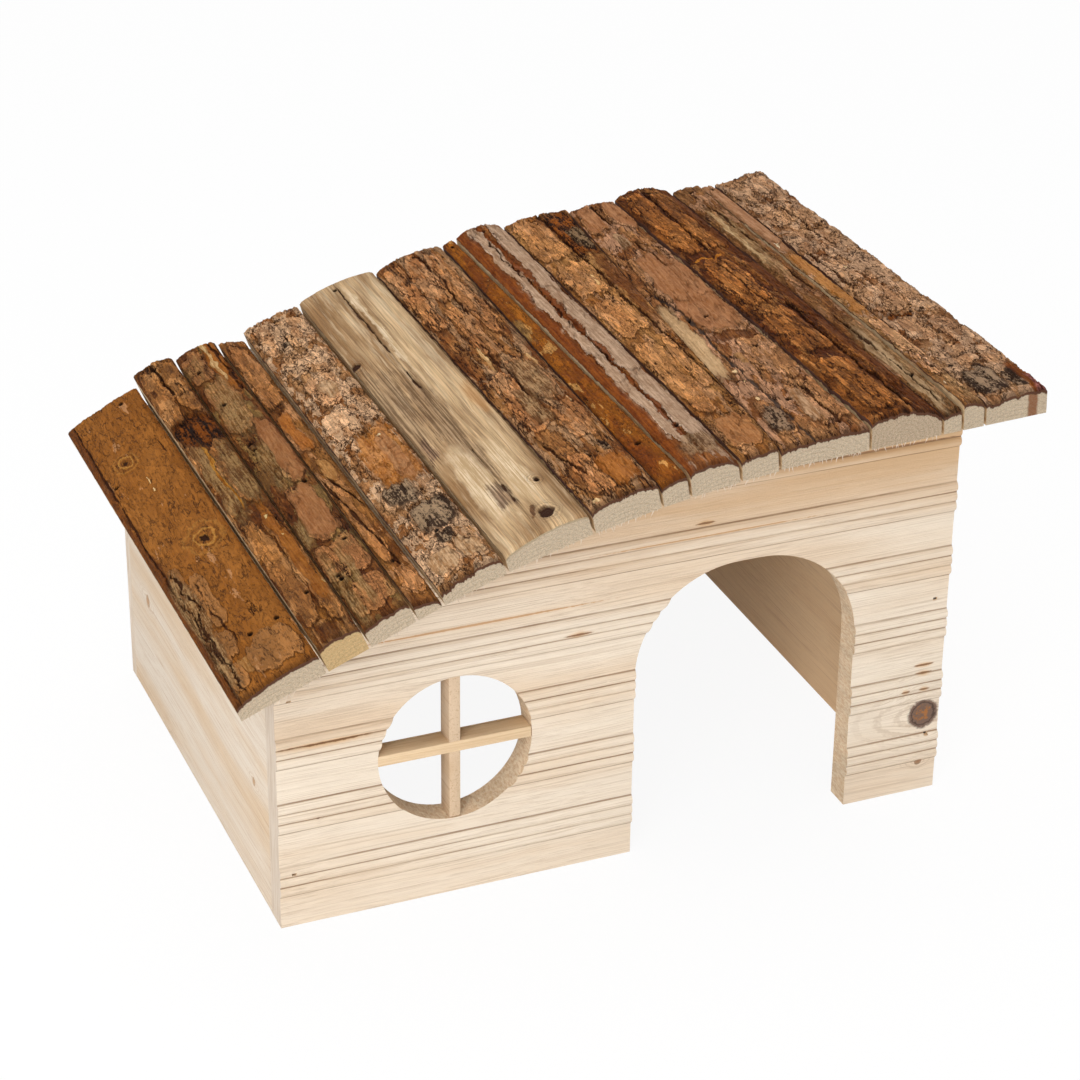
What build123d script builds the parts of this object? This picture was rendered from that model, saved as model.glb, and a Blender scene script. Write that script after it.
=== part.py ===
from build123d import *

# Wooden hamster house: four wall boards nailed at the corners, an arched doorway and a
# round window with a half-lapped cross, under a bent roof of bark-on slats nailed on one by one.
# Millimetres, +Z up, front along -Y. The origin is under the middle of the roof, on the ground.

import os
from dataclasses import dataclass
from math import asin, cos, radians, sin, tan

# Walls
wall_width = 250.0  # front and back boards, along X
wall_depth = 186.0  # flat of the front board to outside of the back board, along Y
wall_left = -123.8  # X of the walls' left face
front_thickness = 9.8  # front board at its flats
side_thickness = 9.8
back_thickness = 5.5

# Roof line, the bent top edge of the front and back boards
eaves_height = 107.3  # at the walls' left face
steep_pitch = 22.3  # degrees, the left stretch
flat_pitch = 2.1  # degrees, the right stretch
bend_start = 39.5  # from the walls' left face to where the steep stretch ends
bend_radius = 443.0

# Reeds, the half-round beads planed along the front board in bands of three
reed_height = 1.25
reed_radius = 2.3
reed_spacing = 3.75
reeds_in_band = 3
band_count = 6
band_spacing = 25.25
first_reed_height = 14.4  # centre line of the lowest reed

# Doorway and window, with X from the walls' left face
door_left = 129.1
door_width = 84.3
door_height = 109.3
door_corner_radius = 38.0
window_centre_x = 63.5
window_centre_z = 57.7
window_radius = 27.8
cross_offset = (-0.3, 0.5)  # the cross sits this far off the window's centre
bar_width = 4.0
bar_depth = 8.3

# Brads, headless strips of steel driven by a nail gun
brad_width = 1.6
brad_thickness = 1.2
brad_sink = 0.8  # they are punched this far below the surface
wall_brad_length = 25.0
roof_brad_length = 20.0
corner_brad_heights = {"left": (21.4, 88.8), "right": (23.4, 79.0)}

# Roof slats
slat_length = 213.5
front_overhang = 24.7  # past the flats of the front board
first_seam = (-18.45, -17.65)  # X of the roof's left edge from the walls' left face, front and back
slat_gap = 0.3
crown_shares = (0.0, 0.25, 0.5, 0.75, 1.0)  # the crown's ridges, as shares of the width
narrow_shares = (0.0, 0.5, 1.0)  # the same for slats under the narrow width
narrow_width = 13.0
drive_clearance = 3.0  # brad slots start this far above the bark

# Bark plates, the thick scales between the bark's furrows
plate_height = 0.9  # above the furrows
plate_root = 0.6  # they reach this far below the furrows
plate_edge_angle = 35  # lean of their broken edges, in degrees
plate_point = 0.35  # each end comes to a point at this share of the width
long_shoulder = 5.0  # from the point back to the plate's sides
short_shoulder = 2.0


@dataclass
class Slat:
    """One slab of a young trunk, sawn flat below and crowned with bark above.

    Each pair is the front end and the back end. A thickness is left edge, crown, right edge, up to
    the outside of the bark. A brad place is the share of the width from the slat's left edge.
    A plate is where it starts and ends across, from the left edge, and along, from the back end.
    """

    width: tuple[float, float]
    front: tuple[float, float, float]
    back: tuple[float, float, float]
    brads: tuple[float, float] = (0.5, 0.5)
    plates: tuple[tuple[float, float, float, float], ...] = ()


slats = [
    Slat(
        (29.35, 28.85),
        (7.0, 9.5, 9.5),
        (6.0, 8.0, 8.5),
        brads=(0.86, 0.73),
        plates=(
            (0.11, 0.26, 0.59, 0.70),
            (0.24, 0.45, 0.64, 0.80),
            (0.10, 0.36, 0.81, 0.90),
            (0.10, 0.30, 0.91, 0.98),
            (0.40, 0.95, 0.88, 0.98),
        ),
    ),
    Slat(
        (14.5, 15.5),
        (10.5, 11.3, 9.8),
        (13.2, 14.0, 12.5),
        plates=(
            (0.05, 0.48, 0.02, 0.23),
            (0.56, 0.95, 0.02, 0.21),
            (0.08, 0.38, 0.33, 0.58),
            (0.48, 0.95, 0.33, 0.56),
            (0.06, 0.50, 0.61, 0.94),
            (0.56, 0.94, 0.60, 0.96),
        ),
    ),
    Slat(
        (16.0, 15.5),
        (8.5, 9.6, 8.8),
        (10.5, 11.3, 9.6),
        brads=(0.24, 0.2),
        plates=(
            (0.05, 0.55, 0.02, 0.13),
            (0.12, 0.75, 0.15, 0.34),
            (0.50, 0.96, 0.36, 0.55),
            (0.22, 0.85, 0.57, 0.74),
            (0.04, 0.96, 0.76, 0.87),
            (0.10, 0.94, 0.89, 0.98),
        ),
    ),
    Slat(
        (9.0, 9.5),
        (7.4, 6.3, 4.4),
        (7.8, 6.0, 3.8),
        plates=(
            (0.08, 0.90, 0.03, 0.28),
            (0.10, 0.62, 0.31, 0.46),
            (0.30, 0.75, 0.51, 0.58),
            (0.10, 0.60, 0.61, 0.86),
            (0.20, 0.85, 0.89, 0.97),
        ),
    ),
    Slat(
        (22.0, 22.0),
        (6.0, 8.0, 7.0),
        (6.3, 7.7, 6.5),
        plates=(
            (0.10, 0.50, 0.02, 0.13),
            (0.52, 0.92, 0.03, 0.14),
            (0.16, 0.54, 0.15, 0.24),
            (0.58, 0.94, 0.16, 0.26),
            (0.24, 0.80, 0.26, 0.37),
            (0.14, 0.56, 0.39, 0.49),
            (0.60, 0.94, 0.38, 0.48),
            (0.24, 0.52, 0.51, 0.66),
            (0.56, 0.92, 0.50, 0.65),
            (0.12, 0.66, 0.68, 0.76),
            (0.70, 0.97, 0.66, 0.75),
            (0.24, 0.94, 0.77, 0.87),
            (0.08, 0.56, 0.89, 0.98),
            (0.60, 0.95, 0.88, 0.98),
        ),
    ),
    Slat((30.0, 30.0), (6.5, 9.5, 8.5), (7.0, 9.0, 7.5), brads=(0.8, 0.45)),
    Slat(
        (24.0, 27.0),
        (9.3, 11.5, 10.5),
        (7.0, 9.7, 8.3),
        brads=(0.5, 0.55),
        plates=(
            (0.04, 0.30, 0.02, 0.30),
            (0.34, 0.60, 0.02, 0.22),
            (0.64, 0.88, 0.03, 0.38),
            (0.34, 0.60, 0.26, 0.45),
            (0.46, 0.86, 0.48, 0.64),
            (0.12, 0.42, 0.52, 0.74),
            (0.50, 0.92, 0.67, 0.81),
            (0.18, 0.50, 0.85, 0.98),
            (0.56, 0.92, 0.87, 0.97),
        ),
    ),
    Slat((10.0, 5.5), (8.0, 8.8, 9.5), (8.0, 8.5, 8.8)),
    Slat(
        (18.0, 19.0),
        (10.0, 11.3, 9.0),
        (10.0, 12.2, 9.6),
        plates=(
            (0.22, 0.44, 0.01, 0.14),
            (0.56, 0.94, 0.01, 0.30),
            (0.24, 0.42, 0.22, 0.45),
            (0.52, 0.95, 0.36, 0.65),
            (0.24, 0.46, 0.49, 0.68),
            (0.54, 0.95, 0.68, 0.93),
            (0.24, 0.50, 0.72, 0.92),
        ),
    ),
    Slat(
        (14.0, 26.5),
        (9.0, 10.0, 10.5),
        (9.0, 10.5, 9.8),
        brads=(0.58, 0.4),
        plates=(
            (0.04, 0.50, 0.02, 0.20),
            (0.06, 0.58, 0.23, 0.36),
            (0.08, 0.66, 0.39, 0.53),
            (0.06, 0.50, 0.56, 0.84),
            (0.56, 0.86, 0.57, 0.76),
            (0.10, 0.92, 0.87, 0.97),
        ),
    ),
    Slat(
        (33.0, 19.0),
        (8.3, 9.9, 9.5),
        (8.8, 10.3, 10.0),
        plates=(
            (0.04, 0.42, 0.02, 0.13),
            (0.56, 0.96, 0.02, 0.13),
            (0.16, 0.62, 0.26, 0.45),
            (0.68, 0.96, 0.31, 0.45),
            (0.32, 0.94, 0.47, 0.60),
            (0.50, 0.97, 0.63, 0.78),
            (0.52, 0.97, 0.80, 0.96),
            (0.08, 0.34, 0.84, 0.96),
        ),
    ),
    Slat(
        (27.0, 24.5),
        (11.0, 12.9, 8.6),
        (10.5, 13.0, 8.8),
        plates=(
            (0.06, 0.36, 0.03, 0.30),
            (0.42, 0.90, 0.04, 0.29),
            (0.08, 0.50, 0.35, 0.54),
            (0.66, 0.95, 0.36, 0.60),
            (0.10, 0.54, 0.57, 0.75),
            (0.68, 0.95, 0.63, 0.90),
            (0.10, 0.50, 0.78, 0.97),
        ),
    ),
    Slat((7.5, 12.0), (8.2, 9.0, 9.2), (9.0, 10.1, 9.8), plates=((0.12, 0.62, 0.12, 0.46), (0.30, 0.92, 0.64, 0.96))),
    Slat(
        (8.5, 6.0),
        (11.0, 11.0, 10.0),
        (9.0, 9.0, 8.5),
        plates=((0.12, 0.88, 0.02, 0.30), (0.15, 0.80, 0.35, 0.62), (0.20, 0.88, 0.66, 0.88)),
    ),
    Slat(
        (24.0, 20.5),
        (8.8, 10.0, 10.5),
        (8.8, 10.3, 11.3),
        brads=(0.12, 0.16),
        plates=(
            (0.08, 0.50, 0.02, 0.12),
            (0.56, 0.94, 0.03, 0.14),
            (0.10, 0.44, 0.14, 0.24),
            (0.50, 0.94, 0.16, 0.26),
            (0.08, 0.50, 0.27, 0.36),
            (0.56, 0.95, 0.28, 0.38),
            (0.10, 0.46, 0.39, 0.50),
            (0.52, 0.94, 0.41, 0.52),
            (0.08, 0.60, 0.53, 0.63),
            (0.66, 0.95, 0.55, 0.66),
            (0.10, 0.48, 0.66, 0.76),
            (0.54, 0.94, 0.69, 0.79),
            (0.08, 0.56, 0.79, 0.88),
            (0.62, 0.95, 0.82, 0.90),
            (0.10, 0.54, 0.90, 0.98),
            (0.58, 0.92, 0.92, 0.98),
        ),
    ),
]

# Derived places
wall_right = wall_left + wall_width
slat_front = -slat_length / 2
slat_back = slat_length / 2
wall_front = slat_front + front_overhang
wall_back = wall_front + wall_depth
inside_front = wall_front + front_thickness
inside_back = wall_back - back_thickness
front_brad_y = wall_front + front_thickness / 2
back_brad_y = wall_back - back_thickness / 2
door_centre_x = wall_left + door_left + door_width / 2
window_x = wall_left + window_centre_x
cross_x = window_x + cross_offset[0]
cross_z = window_centre_z + cross_offset[1]

steep_slope = tan(radians(steep_pitch))
flat_slope = tan(radians(flat_pitch))
bend_start_x = wall_left + bend_start
bend_centre_x = bend_start_x + bend_radius * sin(radians(steep_pitch))
bend_centre_z = eaves_height + bend_start * steep_slope - bend_radius * cos(radians(steep_pitch))
bend_end_x = bend_centre_x - bend_radius * sin(radians(flat_pitch))
bend_end_z = bend_centre_z + bend_radius * cos(radians(flat_pitch))


def roof_line(x):
    """Height of the roof line at x, and its pitch there in radians."""
    if x < bend_start_x:
        return eaves_height + (x - wall_left) * steep_slope, radians(steep_pitch)
    if x > bend_end_x:
        return bend_end_z + (x - bend_end_x) * flat_slope, radians(flat_pitch)
    pitch = asin((bend_centre_x - x) / bend_radius)
    return bend_centre_z + bend_radius * cos(pitch), pitch


def roof_point(x):
    """A point of the roof line, in the plane of the wall boards."""
    return x, roof_line(x)[0]


def seams(side):
    """X of every seam between slats along one end of the roof: 0 is the front end, 1 the back."""
    places = [wall_left + first_seam[side]]
    for slat in slats:
        places.append(places[-1] + slat.width[side])
    return places


front_seams = seams(0)
back_seams = seams(1)


class Seat:
    """Where one slat lies: its flat underside touches the roof line below the slat's middle."""

    def __init__(self, index):
        """Finds the seat of the slat at this index, counted from the left."""
        corners = [line[index + step] for line in (front_seams, back_seams) for step in (0, 1)]
        self.slat = slats[index]
        self.x = sum(corners) / len(corners)
        self.z, self.pitch = roof_line(self.x)
        self.edges = [[(c - self.x) / cos(self.pitch) for c in pair] for pair in (corners[:2], corners[2:])]

    def plane(self, y):
        """The slat's cross-section plane at y: local X across the slat, local Y away from the seat."""
        across = (cos(self.pitch), 0, sin(self.pitch))
        return Plane(origin=(self.x, y, self.z), x_dir=across, z_dir=(0, -1, 0))

    def crown_point(self, share, back_share, rise=0):
        """A point above the furrows, on the cross-section plane there.

        share is across from the left edge, back_share is along from the back end.
        """
        ends = []
        for side, (left, middle, right) in enumerate((self.slat.front, self.slat.back)):
            outer = left + (4 * middle - 3 * left - right) * share + 2 * (left + right - 2 * middle) * share**2
            furrow = outer - (plate_height if self.slat.plates else 0)
            low, high = self.edges[side][0] + slat_gap / 2, self.edges[side][1] - slat_gap / 2
            ends.append(Vector(low + (high - low) * share, furrow + rise))
        point = ends[1] + (ends[0] - ends[1]) * back_share
        return point.X, point.Y

    def end_profile(self, back_share):
        """The slat's outline at an end: its flat underside and its crown."""
        shares = narrow_shares if max(self.slat.width) < narrow_width else crown_shares
        crown = [self.crown_point(share, back_share) for share in shares]
        return [(crown[0][0], 0), *crown, (crown[-1][0], 0)]

    def crown_place(self, share, back_share):
        """A point of the furrows in space."""
        section = self.plane(slat_back - back_share * slat_length)
        return section.from_local_coords(self.crown_point(share, back_share))

    def plate_outline(self, left, right, back, front):
        """The plane on which a bark plate grows, below the furrows, and its pointed outline there."""
        across = self.crown_place(right, (back + front) / 2) - self.crown_place(left, (back + front) / 2)
        along = self.crown_place((left + right) / 2, back) - self.crown_place((left + right) / 2, front)
        corners = [self.crown_place(share, end) for share in (left, right) for end in (back, front)]
        crest = self.crown_place((left + right) / 2, (back + front) / 2)
        centre = (sum(corners, Vector()) / 4 + crest) / 2
        ground = Plane(origin=centre, x_dir=across, z_dir=across.cross(along)).offset(-plate_root)
        x, y = across.length / 2, along.length / 2
        tip = x * (1 - 2 * plate_point)
        half = [(x, y - long_shoulder), (-tip, y), (-x, y - short_shoulder)]
        return ground, half + [(-u, -v) for u, v in half]

    def drive_point(self, side):
        """Where the brad at this end is driven: local Z points out of the roof."""
        y = (front_brad_y, back_brad_y)[side]
        along = (y - slat_front) / slat_length
        share = self.slat.brads[side]
        ends = [left + (right - left) * share for left, right in self.edges]
        across = ends[0] + (ends[1] - ends[0]) * along
        thickest = max(*self.slat.front, *self.slat.back) + drive_clearance
        x = self.x + across * cos(self.pitch) - thickest * sin(self.pitch)
        z = self.z + across * sin(self.pitch) + thickest * cos(self.pitch)
        out = (-sin(self.pitch), 0, cos(self.pitch))
        return Plane(origin=(x, y, z), x_dir=(0, 1, 0), z_dir=out).location

    def drive_depth(self, side):
        """From the drive point down to the brad's top end."""
        near, far = (self.slat.front, self.slat.back)[side], (self.slat.back, self.slat.front)[side]
        surface = (2 * min(near) + min(far)) / 3 - (plate_height if self.slat.plates else 0)
        return max(*near, *far) + drive_clearance - surface + brad_sink


seats = [Seat(index) for index in range(len(slats))]


def wall_brad_point(side, height, face_y, outward):
    """Where a corner brad is driven through an end board into the edge of a side board."""
    inset = side_thickness / 2
    x = wall_left + inset if side == "left" else wall_right - inset
    return Plane(origin=(x, face_y, height), x_dir=(1, 0, 0), z_dir=(0, outward, 0)).location


wall_brad_places = {
    outward: [
        wall_brad_point(side, height, face_y, outward)
        for side, heights in corner_brad_heights.items()
        for height in heights
    ]
    for outward, face_y in ((-1, wall_front), (1, wall_back))
}


def drive(depth):
    """Sinks a brad's slot this deep from the current location."""
    Box(brad_width, brad_thickness, depth, align=(Align.CENTER, Align.CENTER, Align.MAX), mode=Mode.SUBTRACT)


def drive_wall_brads(outwards):
    """Sinks the corner brads' slots into these faces, -1 for the front and 1 for the back."""
    for outward in outwards:
        with Locations(*wall_brad_places[outward]):
            drive(brad_sink + wall_brad_length)


def drive_roof_brads(side, chosen=None):
    """Sinks the roof brads' slots along one end of the roof, for these seats or for all of them."""
    for seat in chosen or seats:
        with Locations(seat.drive_point(side)):
            drive(seat.drive_depth(side) + roof_brad_length)


def brad(length):
    """One brad, hanging down from the current location."""
    Box(brad_width, brad_thickness, length, align=(Align.CENTER, Align.CENTER, Align.MAX))


os.makedirs("parts", exist_ok=True)

# The outline that the front and back boards share
with BuildSketch() as end_board:
    with BuildLine():
        Polyline(
            roof_point(bend_start_x),
            roof_point(wall_left),
            (wall_left, 0),
            (wall_right, 0),
            roof_point(wall_right),
            roof_point(bend_end_x),
        )
        bend_middle = roof_point((bend_start_x + bend_end_x) / 2)
        ThreePointArc(roof_point(bend_end_x), bend_middle, roof_point(bend_start_x))
    make_face()

# The doorway, open at the ground
with BuildSketch() as doorway:
    with Locations((door_centre_x, door_height / 2)):
        Rectangle(door_width, door_height)
    fillet(doorway.vertices().sort_by(Axis.Y)[-2:], door_corner_radius)

# Front board: a blank with reeds along its face, sawn to the outline, doorway and window
with BuildPart() as front_panel:
    blank_height = roof_line(wall_right)[0]
    with BuildSketch(Plane.YZ.offset(wall_left)):
        with Locations((wall_front + front_thickness / 2, blank_height / 2)):
            Rectangle(front_thickness, blank_height)
        reed_y = wall_front - reed_height + reed_radius
        for band in range(band_count):
            for reed in range(reeds_in_band):
                with Locations((reed_y, first_reed_height + band * band_spacing + reed * reed_spacing)):
                    Circle(reed_radius)
    extrude(amount=wall_width)
    with BuildSketch(Plane.XZ.offset(-inside_front)):
        add(end_board.sketch)
        add(doorway.sketch, mode=Mode.SUBTRACT)
        with Locations((window_x, window_centre_z)):
            Circle(window_radius, mode=Mode.SUBTRACT)
    extrude(amount=front_thickness + reed_height, mode=Mode.INTERSECT)
    drive_wall_brads([-1])
    drive_roof_brads(0)
front_panel.part.label = "front_panel"
export_step(front_panel.part, "parts/front_panel.step")

# Back board: the same outline, plain
with BuildPart() as back_panel:
    with BuildSketch(Plane.XZ.offset(-wall_back)):
        add(end_board.sketch)
    extrude(amount=back_thickness)
    drive_wall_brads([1])
    drive_roof_brads(1)
back_panel.part.label = "back_panel"
export_step(back_panel.part, "parts/back_panel.step")

# Side boards: between the end boards, with their top edges bevelled to the roof line
for name, outer_x, inner_x in (
    ("left_side_panel", wall_left, wall_left + side_thickness),
    ("right_side_panel", wall_right, wall_right - side_thickness),
):
    with BuildPart() as side_panel:
        with BuildSketch(Plane.XZ.offset(-inside_back)):
            with BuildLine():
                Polyline((outer_x, 0), (inner_x, 0), roof_point(inner_x), roof_point(outer_x), close=True)
            make_face()
        extrude(amount=inside_back - inside_front)
        drive_wall_brads([-1, 1])
    side_panel.part.label = name
    export_step(side_panel.part, f"parts/{name}.step")

# Window cross: two bars fitted to the round window, half-lapped where they meet
for name, bar_size, lap_depth in (
    ("window_bar_horizontal", (2 * window_radius, bar_width), bar_depth / 2),
    ("window_bar_vertical", (bar_width, 2 * window_radius), 0),
):
    with BuildPart() as bar:
        with BuildSketch(Plane.XZ.offset(-wall_front)):
            with Locations((cross_x, cross_z)):
                Rectangle(*bar_size)
            with Locations((window_x, window_centre_z)):
                Circle(window_radius, mode=Mode.INTERSECT)
        extrude(amount=-bar_depth)
        with BuildSketch(Plane.XZ.offset(-wall_front - lap_depth)):
            with Locations((cross_x, cross_z)):
                Rectangle(bar_width, bar_width)
        extrude(amount=-bar_depth / 2, mode=Mode.SUBTRACT)
    bar.part.label = name
    export_step(bar.part, f"parts/{name}.step")

# Roof slats: each lofted from its front end to its back end, then its bark plates
for number, seat in enumerate(seats, start=1):
    with BuildPart() as slat:
        for back_share, y in ((1, slat_front), (0, slat_back)):
            with BuildSketch(seat.plane(y)):
                with BuildLine():
                    Polyline(*seat.end_profile(back_share), close=True)
                make_face()
        loft(ruled=True)
        for plate in seat.slat.plates:
            ground, outline = seat.plate_outline(*plate)
            with BuildSketch(ground):
                with BuildLine():
                    Polyline(*outline, close=True)
                make_face()
            extrude(amount=plate_root + plate_height, taper=plate_edge_angle)
        drive_roof_brads(0, [seat])
        drive_roof_brads(1, [seat])
    slat.part.label = f"roof_slat_{number:02d}"
    export_step(slat.part, f"parts/{slat.part.label}.step")

# Brads, as driven
with BuildPart() as wall_brads:
    for places in wall_brad_places.values():
        with Locations(*places):
            with Locations((0, 0, -brad_sink)):
                brad(wall_brad_length)
wall_brads.part.label = "wall_brads"
export_step(wall_brads.part, "parts/wall_brads.step")

with BuildPart() as roof_brads:
    for seat in seats:
        for side in (0, 1):
            with Locations(seat.drive_point(side)):
                with Locations((0, 0, -seat.drive_depth(side))):
                    brad(roof_brad_length)
roof_brads.part.label = "roof_brads"
export_step(roof_brads.part, "parts/roof_brads.step")
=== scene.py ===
"""The look of a wooden hamster house: its reeded board walls, window cross, bark roof and brads."""

import logging
import random
from dataclasses import dataclass, field
from enum import Enum
from math import cos, pi, radians, sin
from typing import Any, Callable, Sequence, Union

import bpy
import numpy as np
from mathutils import Matrix, Vector


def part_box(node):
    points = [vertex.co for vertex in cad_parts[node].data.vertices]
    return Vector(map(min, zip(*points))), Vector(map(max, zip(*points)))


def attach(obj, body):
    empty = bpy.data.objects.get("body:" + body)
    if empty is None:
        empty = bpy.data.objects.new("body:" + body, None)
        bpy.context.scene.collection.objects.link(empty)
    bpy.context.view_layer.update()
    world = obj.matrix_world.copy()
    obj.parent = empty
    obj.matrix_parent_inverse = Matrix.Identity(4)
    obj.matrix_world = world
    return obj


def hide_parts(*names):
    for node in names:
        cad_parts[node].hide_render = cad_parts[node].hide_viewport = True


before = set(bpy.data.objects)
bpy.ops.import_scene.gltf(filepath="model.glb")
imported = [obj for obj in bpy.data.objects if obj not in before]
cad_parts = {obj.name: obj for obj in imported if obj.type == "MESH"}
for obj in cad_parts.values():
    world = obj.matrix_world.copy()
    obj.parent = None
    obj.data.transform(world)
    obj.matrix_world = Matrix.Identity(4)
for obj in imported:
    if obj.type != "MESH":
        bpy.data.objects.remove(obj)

log = logging.getLogger("hamster_house")

MM = 0.001
WELD = 0.002 * MM  # points closer than this are one
FLAT_ANGLE = radians(0.5)  # faces that bend less than this are one
SQUARE_ON = 0.9  # the part of a face's normal along an axis from which it faces that way
Colour = tuple[float, float, float]
Number = Union[int, float]
Operand = Union["Signal", Number, Sequence[float]]
Range = tuple[float, float]
Triple = tuple[float, float, float]
Plate = tuple[float, float, float, float]


def srgb(red: int, green: int, blue: int) -> Colour:
    """Turns a display colour, 0 to 255 a channel, into the linear one that shaders use."""

    def channel(value: int) -> float:
        share = value / 255
        return share / 12.92 if share <= 0.04045 else ((share + 0.055) / 1.055) ** 2.4

    return channel(red), channel(green), channel(blue)


# ---------------------------------------------------------------------------------------------
# Node maths
# ---------------------------------------------------------------------------------------------


class Signal:
    """A socket of a node tree, with the usual operators. Each operator adds its node."""

    def __init__(self, graph: "Graph", socket: bpy.types.NodeSocket) -> None:
        """Wraps a socket of the graph's tree."""
        self.graph = graph
        self.socket = socket

    @property
    def is_vector(self) -> bool:
        """Whether the socket carries three numbers."""
        return self.socket.type in ("VECTOR", "RGBA")

    def _with(self, operation: str, other: Operand, swap: bool = False) -> "Signal":
        """Adds a Math or Vector Math node for two operands.

        Args:
            operation: The node's operation.
            other: The second operand.
            swap: Puts the second operand first.

        Returns:
            The node's result.
        """
        if isinstance(other, Signal):
            vectors = self.is_vector or other.is_vector
        else:
            vectors = self.is_vector or not isinstance(other, (int, float))
        pair = (other, self) if swap else (self, other)
        if not vectors:
            return self.graph.math(operation, *pair)
        pair = tuple((p, p, p) if isinstance(p, (int, float)) else p for p in pair)
        return self.graph.vector_math(operation, *pair)

    def __add__(self, other: Operand) -> "Signal":
        """self + other."""
        return self._with("ADD", other)

    __radd__ = __add__

    def __sub__(self, other: Operand) -> "Signal":
        """self - other."""
        return self._with("SUBTRACT", other)

    def __rsub__(self, other: Operand) -> "Signal":
        """other - self."""
        return self._with("SUBTRACT", other, swap=True)

    def __mul__(self, other: Operand) -> "Signal":
        """self * other, part by part."""
        return self._with("MULTIPLY", other)

    __rmul__ = __mul__

    def __truediv__(self, other: Operand) -> "Signal":
        """self / other."""
        return self._with("DIVIDE", other)

    def __pow__(self, exponent: Number) -> "Signal":
        """self to a power."""
        return self.graph.math("POWER", self, exponent)

    def __abs__(self) -> "Signal":
        """The size of self without its sign."""
        if self.is_vector:
            return self.graph.vector_math("ABSOLUTE", self)
        return self._with("ABSOLUTE", 0.0)

    def least(self, other: Operand) -> "Signal":
        """The smaller of self and other."""
        return self._with("MINIMUM", other)

    def most(self, other: Operand) -> "Signal":
        """The larger of self and other."""
        return self._with("MAXIMUM", other)

    def rise(self, low: Operand, high: Operand) -> "Signal":
        """Goes smoothly from 0 at low to 1 at high. With low above high it falls instead."""
        settings = {"interpolation_type": "SMOOTHSTEP"}
        return self.graph.node("ShaderNodeMapRange", settings, {0: self, 1: low, 2: high})[0]

    def scaled(self, factor: Operand, more: Operand) -> "Signal":
        """self * factor + more, in one node."""
        if self.is_vector:
            return self.graph.vector_math("MULTIPLY_ADD", self, factor, more)
        return self.graph.math("MULTIPLY_ADD", self, factor, more)

    def between(self, low: Number, high: Number) -> "Signal":
        """Rescales 0 to 1 into low to high."""
        return self.scaled(high - low, low)

    @property
    def size(self) -> "Signal":
        """The length of a vector."""
        return self.graph.node("ShaderNodeVectorMath", {"operation": "LENGTH"}, {0: self})[1]

    def part(self, index: int) -> "Signal":
        """One part of a vector, 0 to 2."""
        return self.graph.node("ShaderNodeSeparateXYZ", {}, {0: self})[index]


class Outputs:
    """The outputs of a node, by name or number."""

    def __init__(self, graph: "Graph", node: bpy.types.Node) -> None:
        """Wraps a node of the graph's tree."""
        self.graph = graph
        self.node = node

    def __getitem__(self, key: Union[str, int]) -> Signal:
        """One output as a signal."""
        return Signal(self.graph, self.node.outputs[key])


class Graph:
    """A shader or geometry node tree that is written as expressions. Equal nodes are made once."""

    def __init__(self, tree: bpy.types.NodeTree, coloured: bool = True) -> None:
        """Wraps a tree.

        Args:
            tree: The tree.
            coloured: Whether colours are wanted from it, or only shapes.
        """
        self.tree = tree
        self.coloured = coloured
        self._made: dict[Any, Outputs] = {}

    def node(self, kind: str, settings: dict[str, Any], sockets: dict[Union[str, int], Operand]) -> Outputs:
        """Adds one node.

        Args:
            kind: The node's Blender type.
            settings: Its options, set first.
            sockets: Values or links of its inputs, by name or number.

        Returns:
            The node's outputs.
        """

        def token(value: Operand) -> Any:
            if isinstance(value, Signal):
                return value.socket.node.name, value.socket.identifier
            return tuple(value) if isinstance(value, (tuple, list)) else value

        made = (kind, tuple(settings.items()), tuple((name, token(value)) for name, value in sockets.items()))
        if made in self._made:
            return self._made[made]
        node = self.tree.nodes.new(kind)
        for name, value in settings.items():
            if getattr(node, name) != value:
                setattr(node, name, value)
        for key, value in sockets.items():
            if isinstance(value, Signal):
                self.tree.links.new(value.socket, node.inputs[key])
            elif node.inputs[key].type == "RGBA":
                node.inputs[key].default_value = (*value, 1.0) if len(value) == 3 else value
            else:
                node.inputs[key].default_value = value
        self._made[made] = Outputs(self, node)
        return self._made[made]

    def math(self, operation: str, *values: Operand) -> Signal:
        """A Math node on numbers."""
        return self.node("ShaderNodeMath", {"operation": operation}, dict(enumerate(values)))[0]

    def vector_math(self, operation: str, *values: Operand) -> Signal:
        """A Vector Math node on vectors."""
        return self.node("ShaderNodeVectorMath", {"operation": operation}, dict(enumerate(values)))[0]

    def join(self, x: Operand, y: Operand, z: Operand) -> Signal:
        """A vector from three numbers."""
        return self.node("ShaderNodeCombineXYZ", {}, {0: x, 1: y, 2: z})[0]

    def mix(self, factor: Operand, first: Operand, second: Operand) -> Signal:
        """Blends two colours: the first where the factor is 0, the second where it is 1."""
        sockets = {0: factor, 6: first, 7: second}
        return self.node("ShaderNodeMix", {"data_type": "RGBA"}, sockets)[2]

    def noise(self, place: Signal, detail: float = 4.0, roughness: float = 0.55) -> Signal:
        """Noise from 0 to 1 with features of about one unit of place."""
        sockets = {"Vector": place, "Scale": 1.0, "Detail": detail, "Roughness": roughness}
        return self.node("ShaderNodeTexNoise", {}, sockets)[0]

    def drift(self, place: Signal, detail: float = 2.0) -> Signal:
        """Three noises at once, about -0.5 to 0.5, as a vector that bends a place."""
        sockets = {"Vector": place, "Scale": 1.0, "Detail": detail}
        return self.node("ShaderNodeTexNoise", {}, sockets)[1] - (0.5, 0.5, 0.5)


# ---------------------------------------------------------------------------------------------
# Bark: one description that shapes a slat's surface and colours it
# ---------------------------------------------------------------------------------------------


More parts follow.
